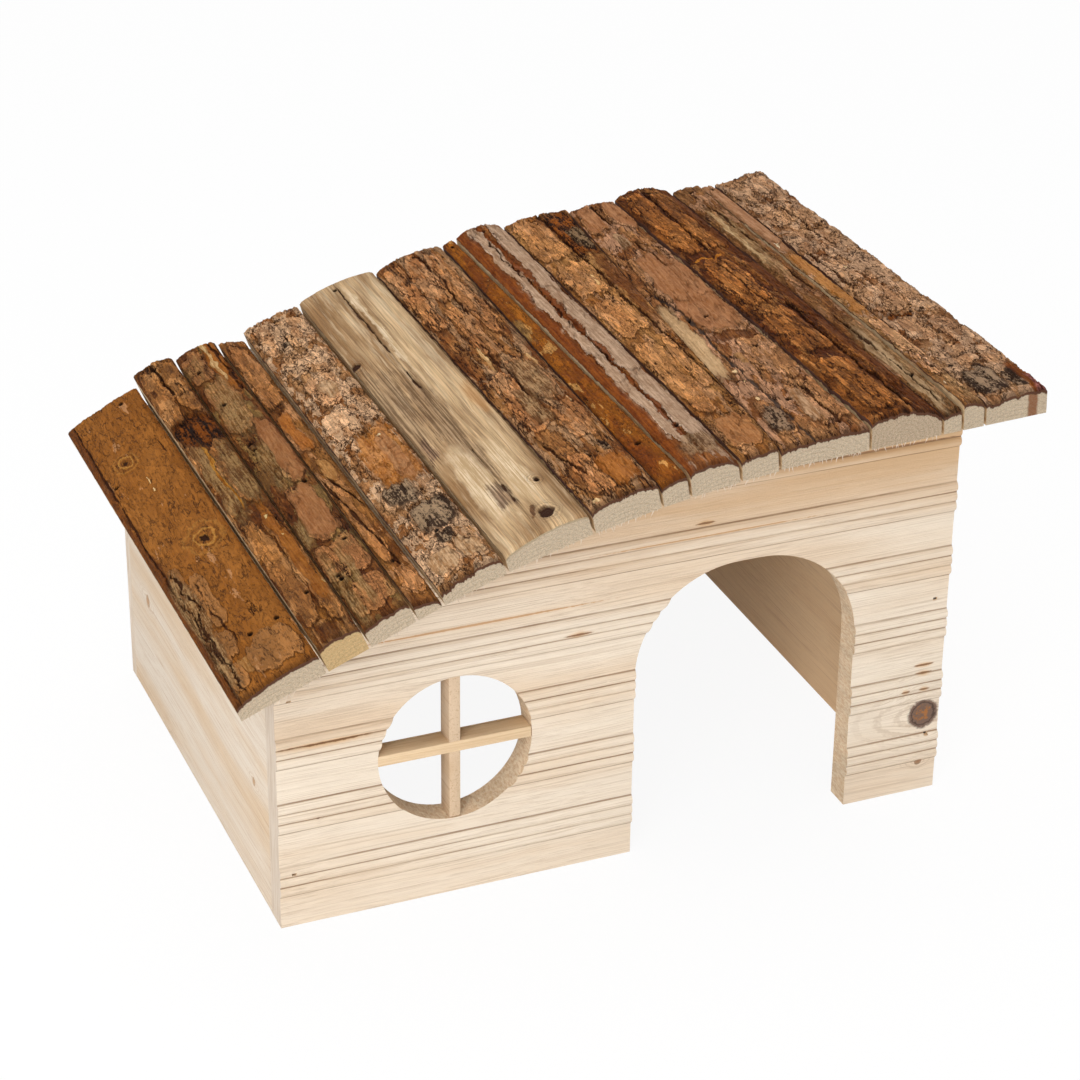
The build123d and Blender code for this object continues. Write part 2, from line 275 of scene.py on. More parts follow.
@dataclass(frozen=True)
class MarkLook:
    """What a patch of a slat's surface looks like.

    Lift is in mm above the bark round it, rough the height of its lumps, rim how dark its outline
    is, soft how wide it fades, fray how far fibres run over its outline and cover how much of the
    bark below it hides.
    """

    low: Colour
    high: Colour
    lift: float = 0.0
    rough: float = 0.1
    rim: float = 0.0
    soft: float = 0.12
    fray: float = 0.0
    cover: float = 1.0
    sharp: float = 1.0


class Mark(Enum):
    """The kinds of patches that the slats show."""

    TORN = MarkLook(srgb(30, 11, 3), srgb(146, 80, 28), -0.8, 0.8, 0.3, 0.3, 1.1, sharp=1.8)
    DARK = MarkLook(srgb(60, 28, 8), srgb(112, 62, 24), -0.1, 0.2, 0.0, 0.4, 0.8, 0.8)
    LEAF = MarkLook(srgb(136, 94, 58), srgb(186, 150, 118), 0.2, 0.15, 0.5, 0.08, 0.5, 0.85)
    TAN = MarkLook(srgb(144, 98, 52), srgb(188, 146, 98), 0.1, 0.15, 0.3, 0.15, 1.1, 0.7)
    PINK = MarkLook(srgb(136, 84, 48), srgb(170, 120, 82), 0.15, 0.1, 0.5, 0.08, 0.5, 0.75)
    ORANGE = MarkLook(srgb(136, 76, 24), srgb(176, 112, 50), -0.25, 0.12, 0.25, 0.2, 1.1, 0.75)
    RESIN = MarkLook(srgb(156, 94, 28), srgb(212, 156, 78), 0.1, 0.15, 0.3, 0.2, 0.8)
    CREAM = MarkLook(srgb(170, 126, 78), srgb(224, 192, 146), 0.1, 0.25, 0.4, 0.2, 1.6, 0.9)
    LICHEN = MarkLook(srgb(100, 68, 34), srgb(172, 142, 100), 0.1, 0.2, 0.1, 0.5, 2.0, 0.6, 1.6)
    ASH = MarkLook(srgb(92, 60, 34), srgb(170, 138, 104), 0.15, 0.25, 0.25, 0.3, 1.6, 0.8, 1.8)
    LUMP = MarkLook(srgb(44, 26, 14), srgb(164, 132, 104), 0.3, 1.1, 0.8, 0.2, 1.3, 0.95, 1.9)
    # Grey strips that stand for the light's sheen on the bark: painted sheen.
    GREY_SHEEN = MarkLook(srgb(148, 116, 90), srgb(192, 164, 140), 0.0, 0.1, 0.3, 0.1, 0.5, 0.95)
    ROSE = MarkLook(srgb(84, 34, 26), srgb(178, 112, 100), 0.1, 0.8, 0.4, 0.3, 0.8, sharp=1.6)
    STAIN = MarkLook(srgb(100, 74, 48), srgb(172, 142, 106), 0.0, 0.02, 0.0, 0.6, 2.6, 0.75, 1.6)
    PALE = MarkLook(srgb(192, 160, 116), srgb(238, 216, 180), 0.0, 0.02, 0.0, 0.6, 2.6, 0.85, 1.4)
    RUST = MarkLook(srgb(170, 118, 66), srgb(200, 154, 100), 0.0, 0.02, 0.0, 0.7, 1.8, 0.7)
    PLUM = MarkLook(srgb(70, 46, 34), srgb(148, 116, 88), 0.0, 0.1, 0.0, 0.6, 2.4, 0.8, 1.6)
    RUSSET = MarkLook(srgb(96, 44, 10), srgb(136, 74, 26), -0.1, 0.12, 0.0, 0.4, 0.4)
    BARE = MarkLook(srgb(160, 126, 90), srgb(194, 162, 124), -0.3, 0.1, 0.3, 0.25, 1.2)
    HOLE = MarkLook(srgb(14, 7, 3), srgb(30, 15, 7), -1.2, 0.0, 0.5, 0.35)
    FLECK = MarkLook(srgb(196, 162, 116), srgb(230, 206, 170), 0.15, 0.1, 0.3, 0.15, 0.6)


@dataclass(frozen=True)
class Patch:
    """A patch on a slat: shares across it from the left, and along it from its back end."""

    mark: Mark
    across: Range
    along: Range


@dataclass(frozen=True)
class Crack:
    """A crack that wanders from one place to another: shares across, and along from the back."""

    start: Range
    end: Range
    width: float = 0.7
    depth: float = 0.9
    wander: float = 1.2
    tone: Colour = srgb(56, 26, 8)


@dataclass(frozen=True)
class Knot:
    """A branch knot: shares across and along from the back, its radius and its eye's in mm."""

    at: Range
    radius: float
    eye: float = 0.9
    rings: Colour = srgb(196, 148, 80)
    eye_tone: Colour = srgb(50, 26, 12)


Feature = Union[Patch, Crack, Knot]

BRAD_ROWS: Range = (0.026, 0.861)  # where the back and the front brads lie along a slat
BRAD_HALF: Range = (0.75, 0.85)  # half the size of a brad's hole in mm, across and along


def holes(*spots: Range) -> list[Patch]:
    """Small dark holes at these shares across and along."""
    return [Patch(Mark.HOLE, (across, across), (along, along)) for across, along in spots]


@dataclass(frozen=True)
class BarkLook:
    """The finish of one slat's crown.

    Flakes are the thin layers that have peeled off in steps, cracks the fine net between them.
    Sizes are in mm: width across, length along.
    """

    inner: Colour = srgb(110, 58, 18)
    outer: Colour = srgb(166, 112, 66)
    dark: Colour = srgb(42, 18, 5)
    tone: Colour = (1.0, 1.0, 1.0)
    flake: Range = (5.0, 20.0)
    flake_lift: float = 0.2
    flake_level: float = 0.5
    crack: Range = (5.0, 22.0)
    crack_share: float = 0.35
    fibre: float = 0.14
    contrast: float = 1.0
    slits: float = 0.85
    tint: Colour = srgb(180, 132, 96)
    tint_share: float = 0.35
    plate_tone: Colour = srgb(172, 120, 80)
    plate_share: float = 0.5
    # rim: how dark the painted shadow just outside each plate is.
    rim: float = 0.5
    lean: float = 0.0
    front_dark: float = 0.55
    debarked: bool = False


@dataclass
class BarkField:
    """What the bark is like at each place: its height in mm, its colour and how rough it is."""

    height: Signal
    colour: Union[Signal, None] = None
    roughness: Union[Signal, None] = None


@dataclass
class BarkSite:
    """Where on a slat the bark is written, and the noises that its whole crown shares.

    Place is in mm from the slat's left edge and its back end, and share the same as shares of its
    mean width and its length. Bent is a place that wanders, and ragged a share with torn outlines.
    """

    graph: Graph
    place: Signal
    share: Signal
    width: float
    length: float
    bent: Signal
    ragged: Signal
    fibre: Signal
    grit: Signal
    edge: Signal


class BarkRecipe:
    """Writes a slat's bark into a node tree, the same way for its shape and for its colour."""

    plate_height = 0.72
    seed_step = 7.3  # how far apart the slats' noises lie
    lightest = srgb(196, 162, 124)  # the tone of the small light specks
    fresh_wood = srgb(222, 198, 160)

    def __init__(
        self,
        look: BarkLook,
        plates: Sequence[Plate],
        features: Sequence[Feature],
        brads: Range,
        seed: int,
    ):
        """Keeps what the slat shows.

        Args:
            look: The finish of its crown.
            plates: The thick scales: shares across from the left, and along from the back end.
            features: Its patches, cracks and knots.
            brads: Where its back and its front brad lie, as shares across.
            seed: Tells this slat's grain from the others'.
        """
        self.look = look
        self.plates = plates
        self.features = [*features, *holes(*zip(brads, BRAD_ROWS))]
        self.seed = seed

    def write(self, graph: Graph, place: Signal, share: Signal, width: float, length: float) -> BarkField:
        """Adds the nodes of the whole crown.

        Args:
            graph: A shader or geometry tree.
            place: mm from the slat's left edge and from its back end.
            share: The same as shares of its width and length.
            width: Its mean width in mm.
            length: Its length in mm.

        Returns:
            The height, colour and roughness.
        """
        look = self.look
        site = self._site(graph, place + (0.0, 0.0, self.seed_step * self.seed), share, width, length)
        base = self._debarked(site) if look.debarked else self._bark(site)
        for feature in self.features:
            if isinstance(feature, Patch):
                base = self._patch(site, feature, base)
            elif isinstance(feature, Crack):
                base = self._crack(site, feature, base)
            else:
                base = self._knot(site, feature, base)
        if not graph.coloured:
            return base
        colour = base.colour * look.tone
        if look.front_dark:
            to_front = (1 - share.part(1)) * length + site.grit * 2.4
            colour = graph.mix(to_front.rise(2.8, 0.6) * look.front_dark, colour, look.dark)
        return BarkField(base.height, colour, base.roughness)

    def _site(self, graph: Graph, place: Signal, share: Signal, width: float, length: float) -> BarkSite:
        """Adds the noises that the whole crown shares."""
        look = self.look
        bent = place + graph.drift(place * (0.10, 0.035, 1.0)) * (3.0, 9.0, 0.0)
        if look.lean:
            bent = bent + graph.join(place.part(1) * look.lean, 0.0, 0.0)
        fibre = graph.noise(place * (1.7, 0.035 if look.debarked else 0.11, 1.0), 4.0, 0.62) - 0.5
        grit = graph.noise(place * (1.2, 0.8, 1.0), 5.0, 0.66) - 0.5
        edge = graph.noise(bent * (0.36, 0.12, 1.0), 7.0, 0.68) - 0.5
        jag = graph.drift(place * (0.20, 0.08, 1.0), 6.0)
        ragged = jag.scaled((6.0 / width, 17.0 / length, 0.0), share)
        return BarkSite(graph, place, share, width, length, bent, ragged, fibre, grit, edge)

    def _plates(self, site: BarkSite) -> Signal:
        """The thick scales: 1 in the middle of each, 0 well outside, with a ragged slope between."""
        nearest = None
        for left, right, back, front in self.plates:
            reach = ((right - left) / 2, (front - back) / 2)
            middle = ((left + right) / 2, (back + front) / 2)
            offset = (-middle[0] / reach[0], -middle[1] / reach[1], 0.0)
            off = site.ragged.scaled((1 / reach[0], 1 / reach[1], 0.0), offset)
            spread = (off * off).size
            nearest = spread if nearest is None else nearest.least(spread)
        slope = site.graph.node("ShaderNodeMapRange", {}, {0: nearest, 1: 1.6, 2: 0.5})[0]
        return site.edge.scaled(0.9, slope)

    def _bark(self, site: BarkSite) -> BarkField:
        """Bark that has peeled in thin layers round its thick scales, with a net of fine cracks."""
        look, graph, bent = self.look, site.graph, site.bent
        layers = graph.noise(bent * (1 / look.flake[0], 1 / look.flake[1], 1.0), 7.0, 0.58)
        levels = [look.flake_level + offset for offset in (-0.08, 0.0, 0.075)]
        treads = [layers.rise(level - 0.003, level + 0.005) for level in levels]
        tread = treads[0] + treads[1] + treads[2]

        net = bent.scaled((1 / look.crack[0], 1 / look.crack[1], 1.0), (3.0, 5.0, 9.0))
        ridge = abs(graph.noise(net, 6.0, 0.62) - 0.5)
        opened = 0.60 - look.crack_share * 0.3
        gap = ridge.rise(0.018, 0.004) * graph.noise(bent * (0.09, 0.04, 1.7), 3.0).rise(opened, opened + 0.1)

        grit, fibre = site.grit, site.fibre
        chips = graph.noise(bent * (0.5, 0.17, 5.3), 5.0, 0.62)
        chip = chips.rise(0.50, 0.515)
        relief = chip.scaled(0.16, grit * 0.4 + fibre * (look.fibre * 2.5))
        height = tread.scaled(look.flake_lift, relief) - gap * 0.45
        plate = inside = None
        if self.plates:
            plate = self._plates(site)
            inside = plate.rise(0.48, 0.54)
            height = inside.scaled(self.plate_height, height)
        if not graph.coloured:
            return BarkField(height)

        # Painted shadows: thin dark lines just below each flake's step and beside each raised chip.
        flake_step_shades = [layers.rise(level - 0.020, level - 0.003) for level in levels]
        chip_shade = chips.rise(0.470, 0.496) * (1 - chip) * grit.rise(-0.12, 0.08)
        raised = graph.noise(bent * (0.3, 0.08, 6.1), 3.0).rise(0.40, 0.56)
        shadow = ((flake_step_shades[0] + flake_step_shades[1] + flake_step_shades[2] - tread) * raised).most(chip_shade * 0.8)
        slit = graph.noise(bent * (1.1, 0.085, 8.7), 3.0, 0.6).rise(0.635, 0.68) * look.slits
        broad = graph.noise(bent * (0.12, 0.035, 3.1), 4.0, 0.6) - 0.5
        cover = (grit * 0.9 + fibre * 1.2 + broad * 3.0).rise(-0.55, 0.65)
        colour = graph.mix(cover, look.inner, look.outer)
        limit = 0.60 - look.tint_share * 0.25
        tinted = graph.noise(bent * (0.16, 0.05, 2.3), 5.0, 0.6).rise(limit, limit + 0.02)
        colour = graph.mix(tinted * treads[1] * 0.8, colour, look.tint)
        colour = graph.mix(treads[2] * look.tint_share, colour, look.tint)
        if inside:
            tone = graph.noise(bent * (0.09, 0.03, 4.1), 3.0).rise(0.36, 0.64)
            face = graph.mix(grit.rise(-0.3, 0.02) * look.plate_share, colour, look.plate_tone)
            # Painted shadow in a band just outside each plate's edge.
            rim = plate.rise(0.37, 0.47) * (1 - inside) * fibre.rise(-0.2, 0.1).between(0.5, 1.2)
            # Painted highlight: a light band just inside each plate's edge.
            edge_highlight = plate.rise(0.53, 0.58) * plate.rise(0.68, 0.58)
            face = face * (tone.between(0.84, 1.18) + edge_highlight * 0.3)
            colour = graph.mix(inside, colour * 0.88, face)
            shadow = shadow.most(rim * look.rim * 1.3)
        speck = graph.noise(bent * (2.6, 1.5, 1.0), 3.0, 0.7)
        colour = colour * graph.math("POWER", fibre + 1.0, 1.7 * look.contrast)
        colour = colour * graph.math("POWER", speck + 0.5, 0.9 * look.contrast)
        colour = colour * chip.between(1 - 0.17 * look.contrast, 1 + 0.17 * look.contrast)
        colour = graph.mix(speck.rise(0.69, 0.78) * 0.3 * look.contrast, colour, self.lightest)
        # Darkens the painted shadow lines together with the crack net and the slits.
        colour = graph.mix((shadow * 0.9 + gap + slit).least(1.0) * 0.95, colour, look.dark)
        return BarkField(height, colour, cover.between(0.72, 0.85))

    def _debarked(self, site: BarkSite) -> BarkField:
        """Bare wood under the bark: long streaks of several widths with fine fibres."""
        look, graph, bent = self.look, site.graph, site.bent
        figure = graph.noise(bent * (0.11, 0.014, 1.0), 4.0, 0.55)
        line = graph.noise(bent * (1.5, 0.02, 1.0), 4.0, 0.6)
        height = (figure - 0.5) * 0.7 + site.fibre * 0.25 + (line - 0.5) * 0.3
        if not graph.coloured:
            return BarkField(height)
        fleck = graph.noise(bent * (0.5, 0.022, 2.0), 6.0, 0.62)
        colour = graph.mix(figure.rise(0.36, 0.60), look.inner, look.outer)
        colour = graph.mix(line.rise(0.48, 0.66) * 0.6, colour, look.tint)
        colour = graph.mix(fleck.rise(0.50, 0.66) * 0.5, colour, self.fresh_wood)
        colour = graph.mix(fleck.rise(0.44, 0.32) * 0.45, colour, look.tint)
        colour = colour * site.fibre.rise(-0.2, 0.2).between(0.74, 1.18)
        return BarkField(height, colour, figure * 0.15 + 0.6)

    def _patch(self, site: BarkSite, patch: Patch, base: BarkField) -> BarkField:
        """Lays one patch over the bark."""
        look: MarkLook = patch.mark.value
        graph = site.graph
        if not graph.coloured and abs(look.lift) < 0.12 and look.rough < 0.16:
            return base
        middle = [(span[0] + span[1]) / 2 for span in (patch.across, patch.along)]
        reach = [(span[1] - span[0]) / 2 for span in (patch.across, patch.along)]
        hole = patch.mark is Mark.HOLE
        if hole:
            reach = [max(reach[0], BRAD_HALF[0] / site.width), max(reach[1], BRAD_HALF[1] / site.length)]
        offset = (-middle[0] / reach[0], -middle[1] / reach[1], 0.0)
        off = (site.share if hole else site.ragged).scaled((1 / reach[0], 1 / reach[1], 0.0), offset)
        spread = off.size if hole else (off * off).size
        if look.fray:
            spread = site.fibre.scaled(1.4, site.edge).scaled(look.fray, spread)
        inside = spread.rise(1.0 + look.soft, 1.0 - look.soft)
        height = inside.scaled(site.grit.scaled(2.0 * look.rough, look.lift), base.height)
        if not graph.coloured:
            return BarkField(height)
        lumpy = 0.0 if self.look.debarked else 0.9 + look.rough
        tone = site.grit * lumpy + site.fibre * (3.6 - lumpy) + site.edge * (1 + 2.5 * look.rough)
        colour = graph.mix(tone.rise(-0.5 / look.sharp, 0.6 / look.sharp), look.low, look.high)
        mixed = base.colour
        if look.rim:
            ring = spread.rise(1.18 + look.soft, 1.0 + look.soft) * site.fibre.rise(-0.2, 0.1)
            mixed = graph.mix(ring * look.rim, mixed, self.look.dark)
        return BarkField(height, graph.mix(inside * look.cover, mixed, colour), base.roughness)

    def _crack(self, site: BarkSite, crack: Crack, base: BarkField) -> BarkField:
        """Opens one crack in the bark."""
        graph, place, width = site.graph, site.place, site.width
        run = crack.end[1] - crack.start[1]
        along = (site.share.part(1) - crack.start[1]) / run
        shift = (crack.start[0] * 31.0, crack.width * 9.0, 3.1)
        wobble = graph.noise(place * (0.03, 0.07, 1.0) + shift, 5.0, 0.62) - 0.5
        path = along.between(crack.start[0] * width, crack.end[0] * width) + wobble * (crack.wander * 5.0)
        aside = abs(site.share.part(0) * width - path)
        window = along.rise(-0.04, 0.06) * along.rise(1.04, 0.94)
        uneven = graph.noise(place * (0.12, 0.14, 1.0), 4.0, 0.65).rise(0.32, 0.68).between(0.15, 1.1)
        gap = (uneven * crack.width * window - aside).rise(-0.12, 0.22)
        height = gap.scaled(-crack.depth, base.height)
        if not graph.coloured:
            return BarkField(height)
        return BarkField(height, graph.mix(gap * 0.9, base.colour, crack.tone), base.roughness)

    def _knot(self, site: BarkSite, knot: Knot, base: BarkField) -> BarkField:
        """Sets one branch knot into the bark."""
        graph, place = site.graph, site.place
        centre = (knot.at[0] * site.width, knot.at[1] * site.length, 0.0)
        flat = place * (1.0, 1.0, 0.0)
        warp = (graph.noise(place * (0.25, 0.18, 1.0), 3.0) - 0.5) * (0.9 * knot.radius)
        away = ((flat - centre) * (1.0, 0.72, 0.0)).size + warp + site.grit * (0.12 * knot.radius)
        inside = (away / knot.radius).rise(1.25, 0.55)
        wave = graph.math("SINE", away * (2 * pi * 2.4 / knot.radius))
        rings = wave.rise(0.2, 0.95) * inside
        creases = wave.rise(-0.4, -0.98) * inside
        eye = away.rise(knot.eye * 1.25, knot.eye * 0.75)
        height = base.height + inside * 0.2 + rings * 0.12 - eye * 0.8
        if not graph.coloured:
            return BarkField(height)
        colour = graph.mix(rings * 0.42, base.colour, knot.rings)
        colour = graph.mix(creases * 0.34, colour, self.look.dark)
        return BarkField(height, graph.mix(eye, colour, knot.eye_tone), base.roughness)


# ---------------------------------------------------------------------------------------------
# Finishes
# ---------------------------------------------------------------------------------------------


def new_material(name: str) -> tuple[bpy.types.Material, Graph, bpy.types.Node]:
    """Makes an empty material.

    Args:
        name: Its name.

    Returns:
        The material, its graph and its Principled shader.
    """
    material = bpy.data.materials.new(name)
    material.use_nodes = True
    tree = material.node_tree
    return material, Graph(tree), tree.nodes["Principled BSDF"]


def wire(
    graph: Graph, shader: bpy.types.Node, colour: Signal, roughness: Operand, bump: Signal, depth: float
) -> None:
    """Connects a finish to its shader.

    Args:
        graph: The material's graph.
        shader: Its Principled shader.
        colour: Base colour.
        roughness: Roughness.
        bump: Fine relief in mm.
        depth: How strongly the relief shades, 1 for true height.
    """
    graph.tree.links.new(colour.socket, shader.inputs["Base Color"])
    if isinstance(roughness, Signal):
        graph.tree.links.new(roughness.socket, shader.inputs["Roughness"])
    else:
        shader.inputs["Roughness"].default_value = roughness
    relief = graph.node("ShaderNodeBump", {}, {"Strength": depth, "Distance": MM, "Height": bump})[0]
    graph.tree.links.new(relief.socket, shader.inputs["Normal"])


def object_mm(graph: Graph) -> Signal:
    """The place on the object in mm."""
    return graph.node("ShaderNodeTexCoord", {}, {})["Object"] * (1 / MM, 1 / MM, 1 / MM)


def attribute(graph: Graph, name: str) -> Signal:
    """A vector kept on the piece's own mesh."""
    return graph.node("ShaderNodeAttribute", {"attribute_name": name}, {})["Vector"]


@dataclass(frozen=True)
class BarkFinish:
    """The crown of one slat."""

    name: str
    recipe: BarkRecipe
    width: float
    length: float

    def make(self) -> bpy.types.Material:
        """Builds the material."""
        material, graph, shader = new_material(self.name)
        place = attribute(graph, "bark_place")
        bark = self.recipe.write(graph, place, attribute(graph, "bark_share"), self.width, self.length)
        hair = graph.noise(place * (3.4, 0.5, 1.0), 4.0, 0.7)
        wire(graph, shader, bark.colour, bark.roughness, hair * 0.45 + bark.height * 1.1, 1.0)
        shader.inputs["Specular IOR Level"].default_value = 0.12
        return material


@dataclass(frozen=True)
class SawnEndFinish:
    """The sawn end of a slat: growth rings, open pores and the bark's own section along the top."""

    name: str
    pale: Colour = srgb(226, 205, 176)
    ring: Colour = srgb(182, 148, 108)
    bark: Colour = srgb(96, 54, 24)
    bark_depth: float = 1.2
    ring_gap: float = 1.7
    heart: Range = (12.0, -14.0)
    stain: Range = (-9.0, 0.6)
    stain_tone: Colour = srgb(150, 92, 48)

    def make(self) -> bpy.types.Material:
        """Builds the material."""
        material, graph, shader = new_material(self.name)
        spot = attribute(graph, "sawn_place")
        across, above = spot.part(0), spot.part(1)
        depth = spot.part(2)
        flat = graph.join(across, above, 0.0)
        wobble = graph.noise(flat * 0.25, 3.0) - 0.5
        radius = (flat - (self.heart[0], self.heart[1], 0.0)).size + wobble * 1.6
        rings = graph.math("SINE", radius * (2 * pi / self.ring_gap))
        pores = graph.noise(flat * (2.6, 2.6, 1.0), 3.0, 0.7)
        fuzz = graph.noise(flat * (1.1, 1.6, 1.0), 4.0, 0.7)
        colour = graph.mix(rings.rise(0.35, 1.0) * 0.2, self.pale, self.ring)
        colour = graph.mix(pores.rise(0.50, 0.64) * 0.7, colour, self.ring)
        colour = colour * fuzz.rise(0.3, 0.7).between(0.84, 1.12)
        stained = abs(across - self.stain[0] + wobble * 1.5).rise(self.stain[1], self.stain[1] * 0.5)
        colour = graph.mix(stained * fuzz.between(0.6, 1.2), colour, self.stain_tone)
        skin = graph.noise(flat * (0.18, 0.0, 1.0) + (4.0, 0.0, 0.0), 3.0).between(0.4, 1.6) * self.bark_depth
        colour = graph.mix((skin - depth).rise(-0.15, 0.35), colour, self.bark * fuzz.between(0.6, 1.4))
        wire(graph, shader, colour, 0.85, pores * 1.0 + fuzz * 1.6 + rings * 0.06, 0.9)
        return material


@dataclass(frozen=True)
class SawnSideFinish:
    """The sawn sides and underside of a slat: pale long grain, with the bark's edge along the top."""

    name: str
    pale: Colour = srgb(214, 184, 140)
    line: Colour = srgb(170, 126, 80)
    bark: Colour = srgb(72, 36, 16)
    skin: float = 3.2

    def make(self) -> bpy.types.Material:
        """Builds the material."""
        material, graph, shader = new_material(self.name)
        place = object_mm(graph)
        depth = attribute(graph, "sawn_place").part(2)
        grain = graph.noise(place * (0.5, 0.03, 0.5), 5.0, 0.6)
        hair = graph.noise(place * (2.2, 0.12, 2.2), 4.0, 0.7)
        colour = graph.mix(grain.rise(0.4, 0.7), self.pale, self.line) * hair.between(0.84, 1.12)
        skin = graph.noise(place * (0.2, 0.12, 0.2), 3.0) * self.skin
        colour = graph.mix((skin - depth).rise(-0.2, 0.3), colour, self.bark)
        wire(graph, shader, colour, 0.8, hair * 0.5 + grain * 0.3, 0.8)
        return material


@dataclass(frozen=True)
class Reeds:
    """The half-round reeds of the front board, in bands of three, in mm."""

    first: float = 14.4
    band_spacing: float = 25.25
    spacing: float = 3.75
    radius: float = 2.3
    height: float = 1.25
    grooves: tuple[float, ...] = (-2.05, 1.875, 5.625, 9.55)

    def place_in_band(self, graph: Graph, x: Signal, z: Signal) -> Signal:
        """Height above the band's lowest reed, which wavers a little along the board."""
        waver = graph.noise(graph.join(x * 0.02, 0.0, z * 0.1), 2.0) - 0.5
        lead = self.spacing
        return graph.math("FLOORED_MODULO", z + waver * 0.3 - (self.first - lead), self.band_spacing) - lead

    def relief(self, graph: Graph, x: Signal, z: Signal) -> Signal:
        """How far the reeds stand out."""
        in_band = self.place_in_band(graph, x, z)
        count = graph.math("ROUND", in_band / self.spacing).most(0.0).least(2.0)
        off = in_band - count * self.spacing
        inside = (self.radius**2 - off * off).most(0.0) ** 0.5
        return (inside - (self.radius - self.height)).most(0.0)

    def shadow(self, graph: Graph, x: Signal, z: Signal) -> Signal:
        """Painted shade: dark lines in the grooves beside the reeds."""
        in_band = self.place_in_band(graph, x, z)
        lines = None
        for number, groove in enumerate(self.grooves):
            strength = graph.noise(graph.join(x * 0.012, number * 3.7, z * 0.03), 5.0, 0.62).rise(0.30, 0.62)
            line = abs(in_band - groove).rise(0.38, 0.10) * strength.between(0.35, 1.0)
            lines = line if lines is None else lines.most(line)
        return lines


@dataclass(frozen=True)
class Streak:
    """A mark that runs with the grain: where it lies, half its size, its tone and its halo's."""

    x: Range
    z: float
    half_height: float
    tone: Colour = srgb(132, 92, 58)
    halo: Colour = srgb(216, 172, 122)
    halo_share: float = 0.6

    def paint(self, graph: Graph, place: Signal, wobble: Signal, colour: Signal) -> Signal:
        """Lays the streak over a board's colour."""
        middle, half = (self.x[0] + self.x[1]) / 2, (self.x[1] - self.x[0]) / 2
        away = place - (middle, 0.0, self.z)
        off = (away * (1 / half, 0.0, 1 / self.half_height)).size + wobble
        near = (away * (0.9 / half, 0.0, 0.3 / self.half_height)).size + wobble * 0.5
        colour = graph.mix(near.rise(1.0, 0.3) * self.halo_share, colour, self.halo)
        return graph.mix(off.rise(1.1, 0.7) * 0.9, colour, self.tone)


@dataclass(frozen=True)
class BoardKnot:
    """A knot in a board: its place in mm, its radius, and how much of it is dark."""

    at: Triple
    radius: float
    collar: Colour = srgb(112, 88, 74)
    eye: Colour = srgb(158, 102, 54)
    strength: float = 1.0


@dataclass(frozen=True)
class FirFinish:
    """Planed fir board with its grain along one axis, 0 for X or 1 for Y."""

    name: str
    pale: Colour
    warm: Colour
    line: Colour
    axis: int
    warm_share: float = 0.5
    line_share: float = 0.5
    knots: tuple[BoardKnot, ...] = ()
    streaks: tuple[Streak, ...] = ()
    reeds: Union[Reeds, None] = None
    # Heights in mm over which the board turns browner towards the roof: partly the wood's own tone, partly
    # painted shade under the roof's overhang.
    roof_shade_and_brown: Union[Range, None] = None

    def stretched(self, along: float, across: float) -> Triple:
        """Scales for a place: one along the grain, one for the other two ways."""
        return (along, across, across) if self.axis == 0 else (across, along, across)

    def make(self) -> bpy.types.Material:
        """Builds the material."""
        material, graph, shader = new_material(self.name)
        place = object_mm(graph)
        bent = place + graph.drift(place * self.stretched(0.008, 0.02)) * self.stretched(0.0, 5.0)
        wobble = graph.noise(place * 0.45, 4.0, 0.6) - 0.5
        swirl = 0.0
        for knot in self.knots:
            away = (place - knot.at) / knot.radius
            close = away.size
            bent = bent - away * close.rise(3.4, 0.4) * (knot.radius * 0.6)
            flow = (away * self.stretched(0.42, 1.0)).size + wobble * 0.5
            swirl = flow.rise(2.6, 0.9) * graph.math("SINE", flow * 11.0).rise(0.0, 1.0) + swirl
        broad = graph.noise(bent * self.stretched(0.005, 0.05), 4.0, 0.55)
        line = graph.noise(bent * self.stretched(0.004, 1.3), 4.0, 0.65)
        fine = graph.noise(bent * self.stretched(0.010, 3.2), 4.0, 0.65)
        hair = graph.noise(place * self.stretched(0.15, 4.5), 3.0, 0.7)
        colour = graph.mix(broad.rise(0.40, 0.72) * self.warm_share, self.pale, self.warm)
        colour = graph.mix(line.rise(0.54, 0.66) * self.line_share, colour, self.line)
        colour = graph.mix(fine.rise(0.48, 0.66) * 0.32, colour, self.line)
        colour = colour * hair.between(0.90, 1.08)
        relief = hair * 0.3 + fine * 0.5 + line * 0.3
        # Browner and darker towards the roof, in patches: partly wood tone, partly painted shade under the
        # overhang.
        if self.roof_shade_and_brown:
            near_roof = graph.noise(bent * self.stretched(0.006, 0.12), 3.0).rise(0.35, 0.6)
            rise = place.part(2).rise(*self.roof_shade_and_brown) * near_roof.between(0.5, 1.0)
            colour = graph.mix(rise * 0.9, colour, self.warm)
        for streak in self.streaks:
            colour = streak.paint(graph, place, wobble, colour)
        if self.reeds:
            groove_shade = self.reeds.shadow(graph, place.part(0), place.part(2))
            # Painted shade in the grooves beside the reeds.
            colour = graph.mix(groove_shade * 0.8, colour, srgb(136, 102, 70))
        if self.knots:
            colour = graph.mix(swirl * 0.25, colour, self.line)
        for knot in self.knots:
            close = ((place - knot.at) / knot.radius).size + wobble * 0.5
            colour = graph.mix(close.rise(1.08, 0.86) * knot.strength, colour, knot.collar)
            torn = graph.noise(place * 0.7, 4.0, 0.65).rise(0.44, 0.56)
            eye = graph.mix(torn, knot.collar, knot.eye)
            colour = graph.mix(close.rise(0.66, 0.5) * knot.strength, colour, eye)
            split = abs(close - 0.74).rise(0.07, 0.02) * knot.strength
            colour = graph.mix(split * 0.7, colour, srgb(52, 36, 28))
        wire(graph, shader, colour, 0.62, relief, 0.7)
        shader.inputs["Specular IOR Level"].default_value = 0.3
        return material


